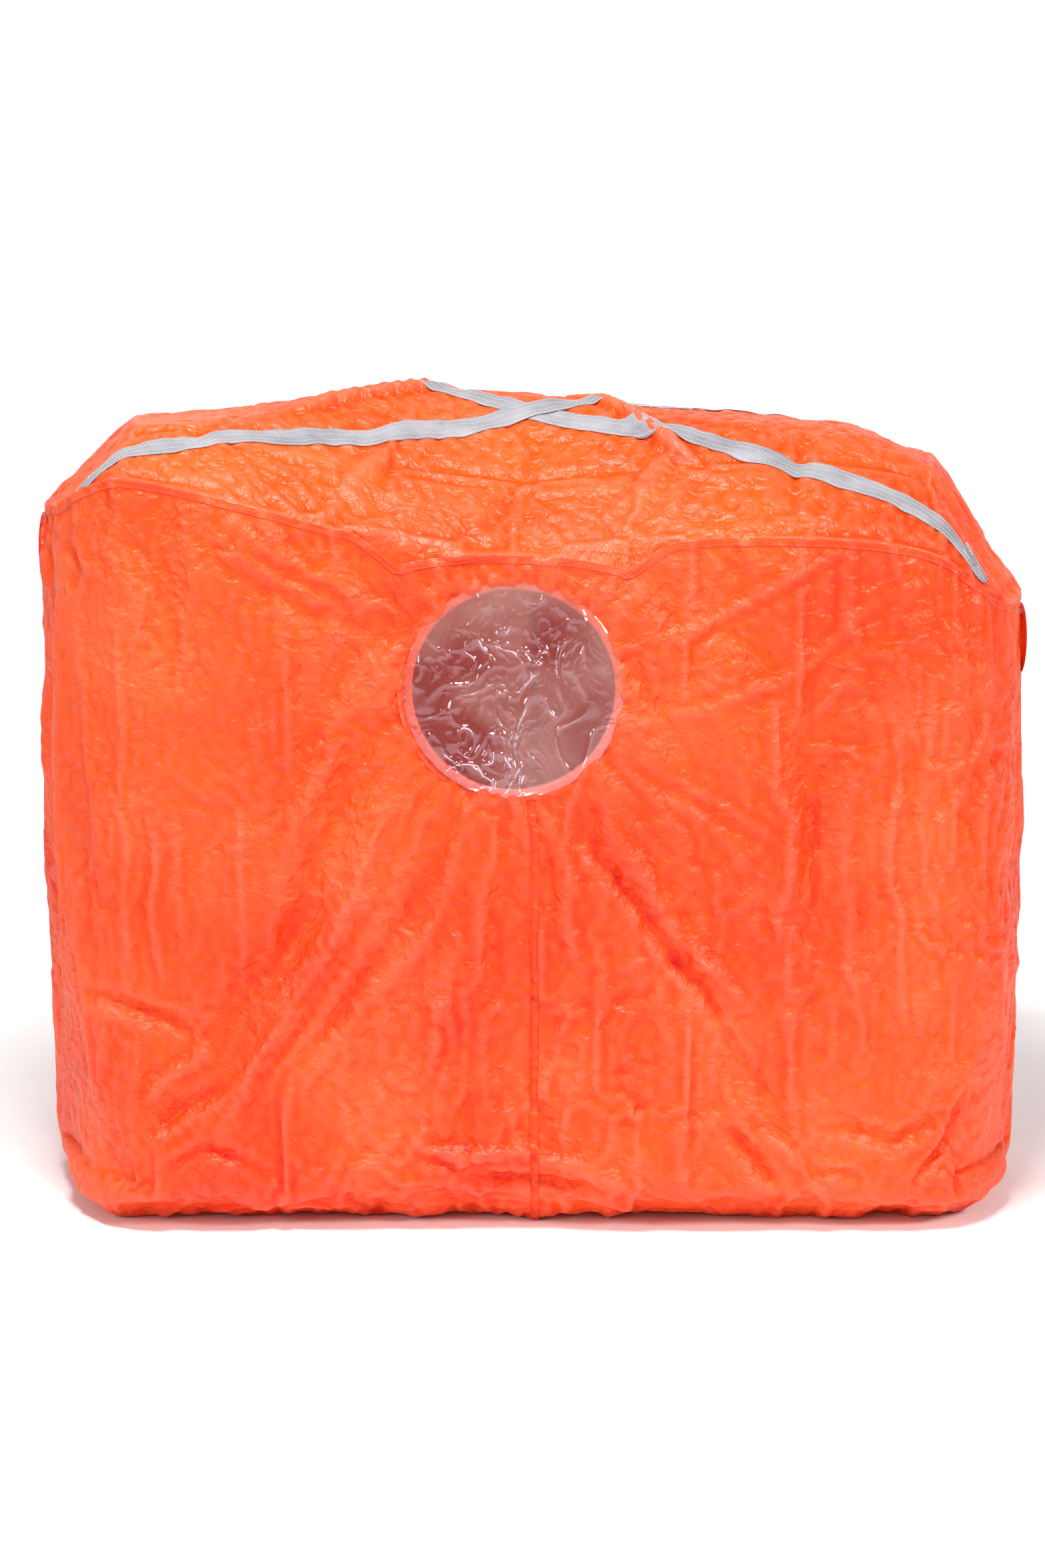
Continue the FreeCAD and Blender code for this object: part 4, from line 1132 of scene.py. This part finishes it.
def window_facing():
    """Folded cloth ring that binds the hole's edge: seen through the film, with small puckers."""
    origin, side, up = ring_frames(HOLE_RADIUS, -HALF_DEPTH)
    turn = np.arange(len(origin)) * 2 * math.pi / len(origin)
    pucker = 0.0004 * np.sin(turn * 47 + 2 * np.sin(turn * 3)) + 0.0003 * np.sin(turn * 83)
    profile = np.array([(0.0085, 0.0002), (0.0080, 0.0008), (0.004, 0.0010), (0.0, 0.0009), (-0.0008, 0.0),
                        (-0.0008, -0.002),
                        (0.0, -0.0032), (0.006, -0.0034), (0.014, -0.0034), (0.0195, -0.0034), (0.020, -0.0030),
                        (0.0196, -0.0024)])
    points, faces = swept(profile, (origin, side, up), True)
    points[:, :4] += up[:, None] * np.abs(pucker)[:, None, None]
    points[:, :4] += side[:, None] * (pucker * 1.4)[:, None, None]
    flats = np.stack(np.broadcast_arrays(np.arange(len(origin) + 1)[:, None] * 0.0036,
                                         np.linspace(0, 0.05, len(profile))[None]), -1)
    return dress(grid_mesh("window_facing", points, faces[..., ::-1], corner_flats(flats)), ripstop,
                 nodes=["window_facing"])


# Where the film is most creased: across and up from its middle, and how wide
FILM_CREASED = ((0.060, 0.050, 0.060), (-0.020, 0.075, 0.045), (-0.105, -0.050, 0.035), (-0.015, -0.100, 0.040))


def window_film():
    """Clear film disc, stretched unevenly so that it is full of small sharp creases."""
    rings, spokes = 110, 520
    radius = FILM_RADIUS * np.linspace(0.004, 1, rings)
    turn = np.arange(spokes) * 2 * math.pi / spokes
    x = WINDOW[0] + radius[None] * np.cos(turn)[:, None]
    z = WINDOW[1] + radius[None] * np.sin(turn)[:, None]
    flat = np.stack([x, np.zeros_like(x), z], -1).reshape(-1, 3)
    warp = warped(flat * 20, (41, 42, 43))
    # long creases lie near upright, and short ones cross them
    tall = (1 - np.abs(smooth_noise(flat * np.array([26.0, 30, 9.0]) + 0.9 * warp, 44))) ** 7
    small = (1 - np.abs(smooth_noise(flat * np.array([60.0, 60, 36.0]) + 1.4 * warp, 45))) ** 6
    tiny = (1 - np.abs(smooth_noise(flat * np.array([120.0, 60, 80.0]) + 1.8 * warp, 46))) ** 5
    belly = 0.004 * smooth_noise(flat * 7, 47) + 0.004
    patch = np.clip(0.15 + 1.3 * smooth_noise(flat * 13 + (0.4, 0, 0.3), 48), 0, 1.0)
    for across, up, spread in FILM_CREASED:
        away = np.hypot(flat[:, 0] - WINDOW[0] - across, flat[:, 2] - WINDOW[1] - up)
        patch += 0.9 * np.exp(-(away / spread) ** 2)
    height = belly + 0.0030 * tall + (0.0030 * small + 0.0016 * tiny) * patch
    edge = np.clip((1 - radius / FILM_RADIUS) / 0.10, 0, 1) ** 0.8
    out = height.reshape(spokes, rings) * edge[None] + 0.0014
    points = np.stack([x, -HALF_DEPTH - out, z], -1)
    index = np.arange(spokes * rings).reshape(spokes, rings)
    piece = grid_mesh("window_film", points, grid_quads(index, True)[..., ::-1])
    dress(piece, film, nodes=["window_film"])
    piece.name = "window_film_disc"
    return piece


def rim_thread(name, radius, y):
    """One row of stitches round a circle that faces the front."""
    origin, _, up = ring_frames(radius, y, 300)
    return sew(name, [closed(origin, up)])


window_facing()
window_film()
dress(rim_thread("window_stitching", FILM_RADIUS - 0.0035, -HALF_DEPTH - 0.0016), orange_thread)


# ---------------------------------------------------------------- reflective tapes

def lying_on(piece):
    """Search tree of a piece's faces."""
    return BVHTree.FromPolygons([v.co for v in piece.data.vertices],
                                [tuple(p.vertices) for p in piece.data.polygons])


roof_tree = lying_on(roof_cloth)


def roof_spot(x, y):
    """Point and outward normal of the roof cloth over a plan point."""
    spot, normal, _, _ = roof_tree.ray_cast(Vector((x, y, CROWN + 0.2)), Vector((0, 0, -1)))
    if spot is None:
        spot, normal, _, _ = roof_tree.find_nearest(Vector((x, y, 1.0)))
    return np.array(spot), np.array(normal if normal.z > 0 else -normal)


def tape(name, slope, lift, crossing_lift):
    """Tape sewn along a roof diagonal, its edges drawn in a little, and its four rows of stitches."""
    # the tape ends inside the roof's rounded corners
    reach_x = HALF_LENGTH - 0.016
    count = 300
    width = 0.030
    columns = np.linspace(-0.5, 0.5, 13)
    along = np.linspace(-1, 1, count)
    angle = math.atan2(slope * DEPTH, LENGTH)
    way = np.array([math.cos(angle), math.sin(angle)])
    side = np.array([-way[1], way[0]])
    total = reach_x / math.cos(angle)
    waver = 0.0022 * np.sin(along * 9.3 + slope) + 0.0012 * np.sin(along * 31 + 2 * slope)
    rows, normals = [], []
    for i, t in enumerate(along):
        line, upward = [], []
        for c in columns:
            edge = c * width + waver[i] + 0.0006 * math.sin(t * 260 + c) * (abs(c) > 0.45)
            x, y = way * t * total + side * edge
            spot, normal = roof_spot(x, y)
            line.append(spot)
            upward.append(normal)
        rows.append(line)
        normals.append(upward)
    points, normals = np.array(rows), np.array(normals)
    for _ in range(3):
        normals[1:-1] = normals[:-2] + 2 * normals[1:-1] + normals[2:]
        normals[:, 1:-1] = normals[:, :-2] + 2 * normals[:, 1:-1] + normals[:, 2:]
        normals /= np.linalg.norm(normals, axis=2, keepdims=True)
        points[1:-1] = (points[:-2] + 2 * points[1:-1] + points[2:]) / 4
        points[:, 1:-1] = (points[:, :-2] + 2 * points[:, 1:-1] + points[:, 2:]) / 4
    bridge = crossing_lift * np.exp(-(along * total / 0.05) ** 4)
    rise = lift + bridge
    top = points + normals * rise[:, None, None]
    under = points + normals * (rise - 0.0009)[:, None, None]
    loop = np.concatenate([top, under[:, ::-1]], 1)
    index = np.arange(loop[..., 0].size).reshape(loop.shape[:2])
    ring = np.concatenate([index, index[:, :1]], 1)
    faces = grid_quads(ring).reshape(-1, 4)
    across = np.concatenate([columns, columns[::-1], columns[:1]]) * width
    flats = np.stack(np.broadcast_arrays((along * total)[:, None], across[None]), -1)
    piece = grid_mesh(name, loop, faces, corner_flats(flats))
    return piece, [(top[4:-4, c], normals[4:-4, c]) for c in (1, 11, 4, 8)]


under_tape, under_runs = tape("reflective_tape_under", -1, 0.0018, 0.0)
over_tape, over_runs = tape("reflective_tape_over", 1, 0.0018, 0.0018)
dress(under_tape, tape_cloth, nodes=["reflective_tape_under"])
dress(over_tape, tape_cloth, nodes=["reflective_tape_over"])
tape_thread = dress(sew("tape_stitching", under_runs[:2] + over_runs[:2] + under_runs[2:] + over_runs[2:],
                        0.0042, 0.0030, 0.0008), pale_thread)


# ---------------------------------------------------------------- hem, vents, seats, locks and eyelet

def oval_frames(inset, radius, steps):
    """Origins, outward sides and ups round the hem, at an inset from the bag's plan."""
    straight_x, straight_y = HALF_LENGTH - inset - radius, HALF_DEPTH - inset - radius
    arc = math.pi / 2 * radius
    runs = np.cumsum([0, straight_x, arc, 2 * straight_y, arc, 2 * straight_x, arc, 2 * straight_y, arc,
                      straight_x])
    place = np.arange(steps) / steps * runs[-1]
    origins, sides = np.zeros((steps, 3)), np.zeros((steps, 3))
    corners = {1: (straight_x, -straight_y), 3: (straight_x, straight_y), 5: (-straight_x, straight_y),
               7: (-straight_x, -straight_y)}
    starts = {0: (0, -straight_y - radius), 2: (straight_x + radius, -straight_y),
              4: (straight_x, straight_y + radius),
              6: (-straight_x - radius, straight_y), 8: (-straight_x, -straight_y - radius)}
    for i, d in enumerate(place):
        run = min(int(np.searchsorted(runs, d, side="right")) - 1, 8)
        gone = d - runs[run]
        if run in corners:
            angle = math.radians(-90 + 90 * (run // 2)) + gone / radius
            side = np.array([math.cos(angle), math.sin(angle)])
            origins[i, :2] = np.array(corners[run]) + radius * side
        else:
            angle = math.radians(-90 + 90 * ((run + 1) // 2))
            side = np.array([math.cos(angle), math.sin(angle)])
            origins[i, :2] = np.array(starts[run]) + gone * np.array([-side[1], side[0]])
        sides[i, :2] = side
    return origins, sides, np.tile((0.0, 0.0, 1.0), (steps, 1)), runs[-1]


HEM_INSET = FOOT + HEM_RIM
HEM_WIDE = 0.014
HEM_HIGH = 0.024
HEM_CORNER = 0.039
CORD_HIGH = 0.012
CORD = 0.0025


def hem_casing():
    """Hem turned in and sewn down as a tunnel, gathered into small puckers by its cord."""
    steps = 1400
    origins, sides, ups, total = oval_frames(HEM_INSET + HEM_WIDE / 2, HEM_CORNER - HEM_WIDE / 2, steps)
    place = np.arange(steps) / steps
    gather = (np.sin(place * 2 * math.pi * 190 + 3 * np.sin(place * 2 * math.pi * 17)) * 0.5
              + np.sin(place * 2 * math.pi * 311 + 5 * np.sin(place * 2 * math.pi * 5)) * 0.3)
    turn = np.linspace(math.radians(75), math.radians(470), 24)
    power = 0.55
    shrink = np.linspace(0.0014, 0.0006, 24)
    wide = np.sign(np.cos(turn)) * np.abs(np.cos(turn)) ** power * (HEM_WIDE / 2 - shrink)
    high = np.sign(np.sin(turn)) * np.abs(np.sin(turn)) ** power * (HEM_HIGH / 2 - shrink) + HEM_HIGH / 2
    profile = np.stack([wide, high], 1)
    points, _ = swept(profile, (origins, sides, ups), True)
    lean = np.clip(np.sin(turn), -0.2, 1)
    points += sides[:, None] * (gather[:, None] * 0.0011)[..., None] * np.abs(np.cos(turn))[None, :, None]
    points += ups[:, None] * (gather[:, None] * 0.0010 * lean[None])[..., None]
    # the cord leaves through the eyelet at the back
    index = np.arange(points[..., 0].size).reshape(points.shape[:2])
    quads = grid_quads(index, True)
    middle = points.reshape(-1, 3)[quads].mean(2)
    inner_side = HALF_DEPTH - HEM_INSET - HEM_WIDE
    from_cord = np.hypot(middle[..., 0], middle[..., 2] - CORD_HIGH)
    clear = (np.abs(middle[..., 1] - inner_side) < 0.003) & (from_cord < 0.0048)
    flats = np.stack(np.broadcast_arrays((np.arange(steps + 1) * total / steps)[:, None],
                                         (np.arange(24) * 0.0032)[None]), -1)
    piece = grid_mesh("hem_casing", points, quads[~clear], corner_flats(flats, ~clear))
    rows = []
    for column in (20, 22):
        rows.append(closed(points[:, column] + ups * 0.0005, ups))
    return piece, rows


def round_cord(name, routes, steps=None):
    """Round cord along smooth splines through routes of points."""
    curve = bpy.data.curves.new(name, "CURVE")
    curve.dimensions = "3D"
    for route in routes:
        spline = curve.splines.new("NURBS")
        spline.points.add(len(route) - 1)
        for point, place in zip(spline.points, route):
            point.co = (*place, 1)
        spline.order_u = 3
        spline.use_endpoint_u = True
        if steps:
            spline.resolution_u = steps
    curve.bevel_depth = CORD / 2
    curve.bevel_resolution = 3
    curve.use_fill_caps = True
    piece = bpy.data.objects.new(name, curve)
    bpy.context.scene.collection.objects.link(piece)
    return piece


def knot_route(centre, ahead, side):
    """Points of an overhand knot with two short tails, about 8 mm across."""
    ahead, side = np.array(ahead, float), np.array(side, float)
    up = np.cross(ahead, side)
    out = []
    for t in np.linspace(0, 2 * math.pi, 25):
        a = (math.sin(t) + 2 * math.sin(2 * t)) * 0.0010
        b = (math.cos(t) - 2 * math.cos(2 * t)) * 0.0010
        c = -math.sin(3 * t) * 0.0011
        out.append(tuple(np.array(centre) + side * a + up * c + ahead * b))
    return out


def knot(name, centre, ahead, side):
    """Overhand knot that both ends of a cord share, with the cut ends beyond it."""
    turns = knot_route(centre, ahead, side)
    centre, ahead, side = (np.array(v, float) for v in (centre, ahead, side))
    tails = []
    for s in (-1, 1):
        places = (0.0, 0.003, 0.007, 0.011)
        tails.append([tuple(centre + ahead * k + side * (s * (0.0014 + 0.25 * abs(k)))) for k in places])
    return round_cord(name, [turns] + tails)


CORD_PAIR = CORD / 2 + 0.00025
LOCK_DIAMETER = 0.017
KNOT = 0.008
HEM_LOCK_Y = HALF_DEPTH - HEM_INSET - HEM_WIDE - 0.005 - LOCK_DIAMETER / 2


def hem_cord():
    """Elastic drawcord right round the hem: both ends leave by the eyelet, pass the lock and share a knot."""
    y = HALF_DEPTH - HEM_INSET - HEM_WIDE / 2
    x = HALF_LENGTH - HEM_INSET - HEM_WIDE / 2
    bend = 0.006
    z = CORD_HIGH
    knot_y = HEM_LOCK_Y - LOCK_DIAMETER / 2 - KNOT / 2
    half = []
    half += [(CORD_PAIR, knot_y, z), (CORD_PAIR, HEM_LOCK_Y, z), (CORD_PAIR, y - bend, z), (CORD_PAIR, y, z),
             (CORD_PAIR + bend, y, z)]
    half += [(x * k, y, z) for k in (0.35, 0.65, 0.88)]
    half += [(x - 0.012, y, z), (x, y - 0.012, z), (x, 0.5 * y, z), (x, -0.5 * y, z), (x, -y + 0.012, z),
             (x - 0.012, -y, z)]
    half += [(x * k, -y, z) for k in (0.88, 0.65, 0.35)]
    route = half + [(0.0, -y, z)] + [(-a, b, c) for a, b, c in reversed(half)]
    return round_cord("hem_drawcord", [route], 6), knot("hem_drawcord_knot", (0, knot_y, z), (0, -1, 0),
                                                        (1, 0, 0))


VENT_OUT = 0.038
VENT_MOUTH = 0.028
VENT_LONG = 0.090
VENT_CLOTH = 0.0015
CHANNEL_LONG = 0.012
CHANNEL_DEEP = 0.009


def vent_sleeve(side, word):
    """Tapered cloth sleeve into the bag: flange, gathered tube and cord channel, with its stitches."""
    z = vent_height(side)
    steps = 160
    turn = np.arange(steps) / steps * 2 * math.pi
    out = np.stack([np.zeros(steps), np.cos(turn), np.sin(turn)], 1)
    start = FABRIC + VENT_LONG
    inner = VENT_MOUTH - VENT_CLOTH
    outline = [(0.0022, VENT_OUT + 0.012), (0.0024, VENT_OUT + 0.006), (0.0026, VENT_OUT + 0.0005),
               (0.0040, VENT_OUT - 0.0008)]
    outline += [(k, VENT_OUT + (VENT_MOUTH - VENT_OUT) * (k - 0.0035) / (start - 0.0035) - 0.0008)
                for k in np.linspace(0.008, start - 0.004, 22)]
    outline += [(start, VENT_MOUTH - 0.0004), (start + 0.0010, inner + 0.004),
                (start + 0.0030, inner + CHANNEL_DEEP - 0.0006),
                (start + 0.0060, inner + CHANNEL_DEEP), (start + 0.0090, inner + CHANNEL_DEEP - 0.0006),
                (start + 0.0112, inner + 0.004),
                (start + 0.0118, inner + 0.0006), (start + 0.009, inner), (start + 0.003, inner)]
    outline = np.array(outline)
    gathers = np.sin(turn * 19 + 1.4 * np.sin(turn * 3)) * 0.6 + np.sin(turn * 31 + 2 * np.sin(turn * 2)) * 0.4
    slack = np.clip((outline[:, 0] - 0.006) / 0.08, 0, 1)
    radius = outline[None, :, 1] + gathers[:, None] * 0.0016 * slack[None]
    radius = np.minimum(radius, np.where(outline[:, 0] > start, inner + CHANNEL_DEEP + 0.0008, 1)[None])
    points = out[:, None] * radius[..., None]
    points[..., 2] += z
    points[..., 0] = side * (HALF_LENGTH - outline[None, :, 0])
    index = np.arange(points[..., 0].size).reshape(points.shape[:2])
    quads = grid_quads(index, True)
    lengths = np.concatenate([[0], np.cumsum(np.linalg.norm(np.diff(outline, axis=0), axis=1))])
    flats = np.stack(np.broadcast_arrays((np.arange(steps + 1) / steps * 0.24)[:, None], lengths[None]), -1)
    middle = points.reshape(-1, 3)[quads].mean(2)
    # the cord leaves the channel through a slit at its lowest place
    from_channel = np.abs(np.abs(middle[..., 0]) - (HALF_LENGTH - start - CHANNEL_LONG / 2))
    slit = (from_channel < 0.0034) & (np.abs(middle[..., 1]) < 0.0034) & (middle[..., 2] < z - inner - 0.005)
    piece = grid_mesh(f"{word}_vent_sleeve", points, quads[~slit], corner_flats(flats, ~slit))
    dress(piece, ripstop, nodes=[f"{word}_vent_sleeve"])
    runs = []
    for column, lift in ((1, 0.0005), (len(outline) - 9, 0.0006)):
        line = points[:, column] + (np.array([-side, 0, 0]) * lift if column == 1 else out * lift)
        normal = np.tile((-float(side), 0.0, 0.0), (steps, 1)) if column == 1 else out
        runs.append(closed(line, normal))
    return piece, runs


def vent_cord(side, word):
    """Cord round the sleeve's mouth, with both ends down through the lock to a shared knot."""
    z = vent_height(side)
    x = side * (HALF_LENGTH - FABRIC - VENT_LONG - CHANNEL_LONG / 2)
    radius = VENT_MOUTH - VENT_CLOTH + CHANNEL_DEEP / 2
    drop = VENT_MOUTH - VENT_CLOTH + CHANNEL_DEEP + 0.005 + LOCK_DIAMETER / 2
    knot_z = z - drop - LOCK_DIAMETER / 2 - KNOT / 2
    bend = 0.006
    low = -math.sqrt((radius + bend) ** 2 - (CORD_PAIR + bend) ** 2)
    half = [(x, CORD_PAIR, knot_z), (x, CORD_PAIR, z - drop), (x, CORD_PAIR, z + low),
            (x, CORD_PAIR + 0.003, z + low + 0.0055)]
    for degrees in (-68, -45, -20, 5, 30, 55, 78):
        a = math.radians(degrees)
        half.append((x, 1.04 * radius * math.cos(a), z + 1.04 * radius * math.sin(a)))
    route = half + [(x, 0.0, z + 1.03 * radius)] + [(a, -b, c) for a, b, c in reversed(half)]
    return round_cord(f"{word}_vent_cord", [route], 6), knot(f"{word}_vent_cord_knot", (x, 0, knot_z),
                                                             (0, 0, -1), (0, 1, 0))


def seat(side, word):
    """Tough sit-on panel with a bound edge, lying in shallow creases on the ground."""
    low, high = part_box(f"{word}_seat_panel")
    nx, ny = 90, 60
    x = np.linspace(low.x, high.x, nx)
    y = np.linspace(low.y, high.y, ny)
    gx, gy = np.meshgrid(x, y, indexing="ij")
    # the free corners are rounded
    free = high.x if side < 0 else low.x
    from_free = np.abs(gx - free)
    radius = 0.020
    cut = np.clip(radius - from_free, 0, radius)
    shorten = radius - np.sqrt(np.maximum(radius ** 2 - cut ** 2, 0))
    half = (high.y - low.y) / 2
    gy = gy * (half - shorten) / half
    flat = np.stack([gx, gy, np.zeros_like(gx)], -1)
    p = flat.reshape(-1, 3)
    rim = np.minimum(np.minimum(gx - low.x, high.x - gx), half - np.abs(gy))
    crumple = facets(p * np.array([16, 16, 1.0]) + 0.8 * warped(p * 12, (61, 62, 63)), 64).reshape(gx.shape)
    height = 0.0010 + 0.0032 * crumple * np.clip(rim / 0.02, 0, 1)
    height += 0.0005 * np.clip(1 - rim / 0.008, 0, 1)
    top = flat + np.array([0, 0, 1.0]) * height[..., None]
    quads = grid_quads(np.arange(nx * ny).reshape(nx, ny))[..., ::-1]
    corners = corner_flats(flat[..., :2]).reshape(-1, 4, 2)[:, ::-1].reshape(-1, 2)
    piece = grid_mesh(f"{word}_seat_panel", top, quads, corners)
    dress(piece, seat_cloth, nodes=[f"{word}_seat_panel"])
    i, j = 3, 3
    rows = [top[i:-i, j], top[i:-i, -j - 1], top[i, j:-j], top[-i - 1, j:-j]]
    up = np.array([0.0, 0.0, 1.0])
    thread = sew(f"{word}_seat_stitching", [(r + up * 0.0004, np.tile(up, (len(r), 1))) for r in rows])
    dress(thread, seat_thread)
    return piece, thread


seat_thread = sewing_thread("black_polyester_thread", "3A3C40")
casing, casing_rows = hem_casing()
dress(casing, ripstop, nodes=["hem_casing"])
casing_thread = dress(sew("hem_stitching", casing_rows), orange_thread)
for piece, cord_knot, node in [(*hem_cord(), "hem_drawcord")] + [(*vent_cord(s, w), f"{w}_vent_cord") for s,
                                                                 w in ((-1, "left"), (1, "right"))]:
    piece.data.materials.append(braid)
    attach(piece, "shelter")
    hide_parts(node)
    piece.name = node + "_braid"
    cord_knot.data.materials.append(braid)
    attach(cord_knot, "shelter")
for side, word in ((-1, "left"), (1, "right")):
    sleeve, sleeve_rows = vent_sleeve(side, word)
    sleeve_thread = dress(sew(f"{word}_vent_stitching", sleeve_rows), orange_thread)
    panel, panel_thread = seat(side, word)

for node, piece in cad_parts.items():
    if piece.hide_render:
        continue
    finish = spring_steel if "spring" in node else brass if "eyelet" in node else lock_plastic
    piece.data.materials.clear()
    piece.data.materials.append(finish)


# ---------------------------------------------------------------- stage, light and camera

def stage():
    """Pale floor that curves up into a backdrop well behind the bag."""
    bend, radius = 3.4, 1.6
    curve = [(bend + radius * math.sin(a), radius - radius * math.cos(a))
             for a in np.linspace(0.1, math.pi / 2, 14)]
    profile = [(-6.0, 0.0), (bend, 0.0)] + curve + [(5.0, 7.0)]
    points = np.array([[(x, y, z - 0.0006) for y, z in profile] for x in (-7.0, 7.0)])
    piece = grid_mesh("studio_floor", points,
                      grid_quads(np.arange(points[..., 0].size).reshape(points.shape[:2])))
    made, tree, shader = finish_of("matt_white_paper")
    fibre = noise(tree, own_place(tree), 300.0, 3.0)
    fill(tree, shader,
         {"Normal": bumped(tree, 0.05, 0.0004, fibre), "Base Color": linear("FAFAFA"), "Roughness": 0.9})
    piece.data.materials.append(made)


def softbox(name, place, target, power, width, height):
    """Rectangular soft light aimed at a point."""
    lamp = bpy.data.lights.new(name, "AREA")
    lamp.shape = "RECTANGLE"
    lamp.size, lamp.size_y = width, height
    lamp.energy = power
    made = bpy.data.objects.new(name, lamp)
    bpy.context.scene.collection.objects.link(made)
    made.location = place
    made.rotation_euler = (Vector(target) - Vector(place)).to_track_quat("-Z", "Y").to_euler()
    return made


def camera():
    """Camera at eye height, looking down on the bag by twelve degrees."""
    lens = bpy.data.cameras.new("camera")
    made = bpy.data.objects.new("camera", lens)
    bpy.context.scene.collection.objects.link(made)
    tilt, away, aim = math.radians(12), 4, 0.57
    made.location = (0, -away * math.cos(tilt), aim + away * math.sin(tilt))
    made.rotation_euler = (math.pi / 2 - tilt, 0, 0)
    # focal length and shifts as shares of the frame's longer side, 2352 steps for 36 mm
    longer = 2352
    lens.lens = 36 * 4144 / longer
    lens.shift_x, lens.shift_y = -18 / longer, 18 / longer
    bpy.context.scene.camera = made


stage()
softbox("key_softbox", (2.5, -2.0, 2.2), (0, 0, 0.55), 60, 0.6, 0.6)
softbox("left_softbox", (-2.7, -2.2, 1.7), (0, 0, 0.55), 30, 0.6, 1.2)
softbox("top_softbox", (-0.3, -1.3, 3.3), (0, -0.2, 0.6), 120, 1.1, 0.5)
softbox("backdrop_light", (0, 1.6, 3.4), (0, 5.0, 2.0), 160, 5.0, 1.0)
sky = bpy.data.worlds.new("white_room")
sky.use_nodes = True
sky.node_tree.nodes["Background"].inputs["Color"].default_value = (1, 1, 1, 1)
sky.node_tree.nodes["Background"].inputs["Strength"].default_value = 0.23
bpy.context.scene.world = sky
bpy.context.scene.view_settings.view_transform = "Standard"
camera()
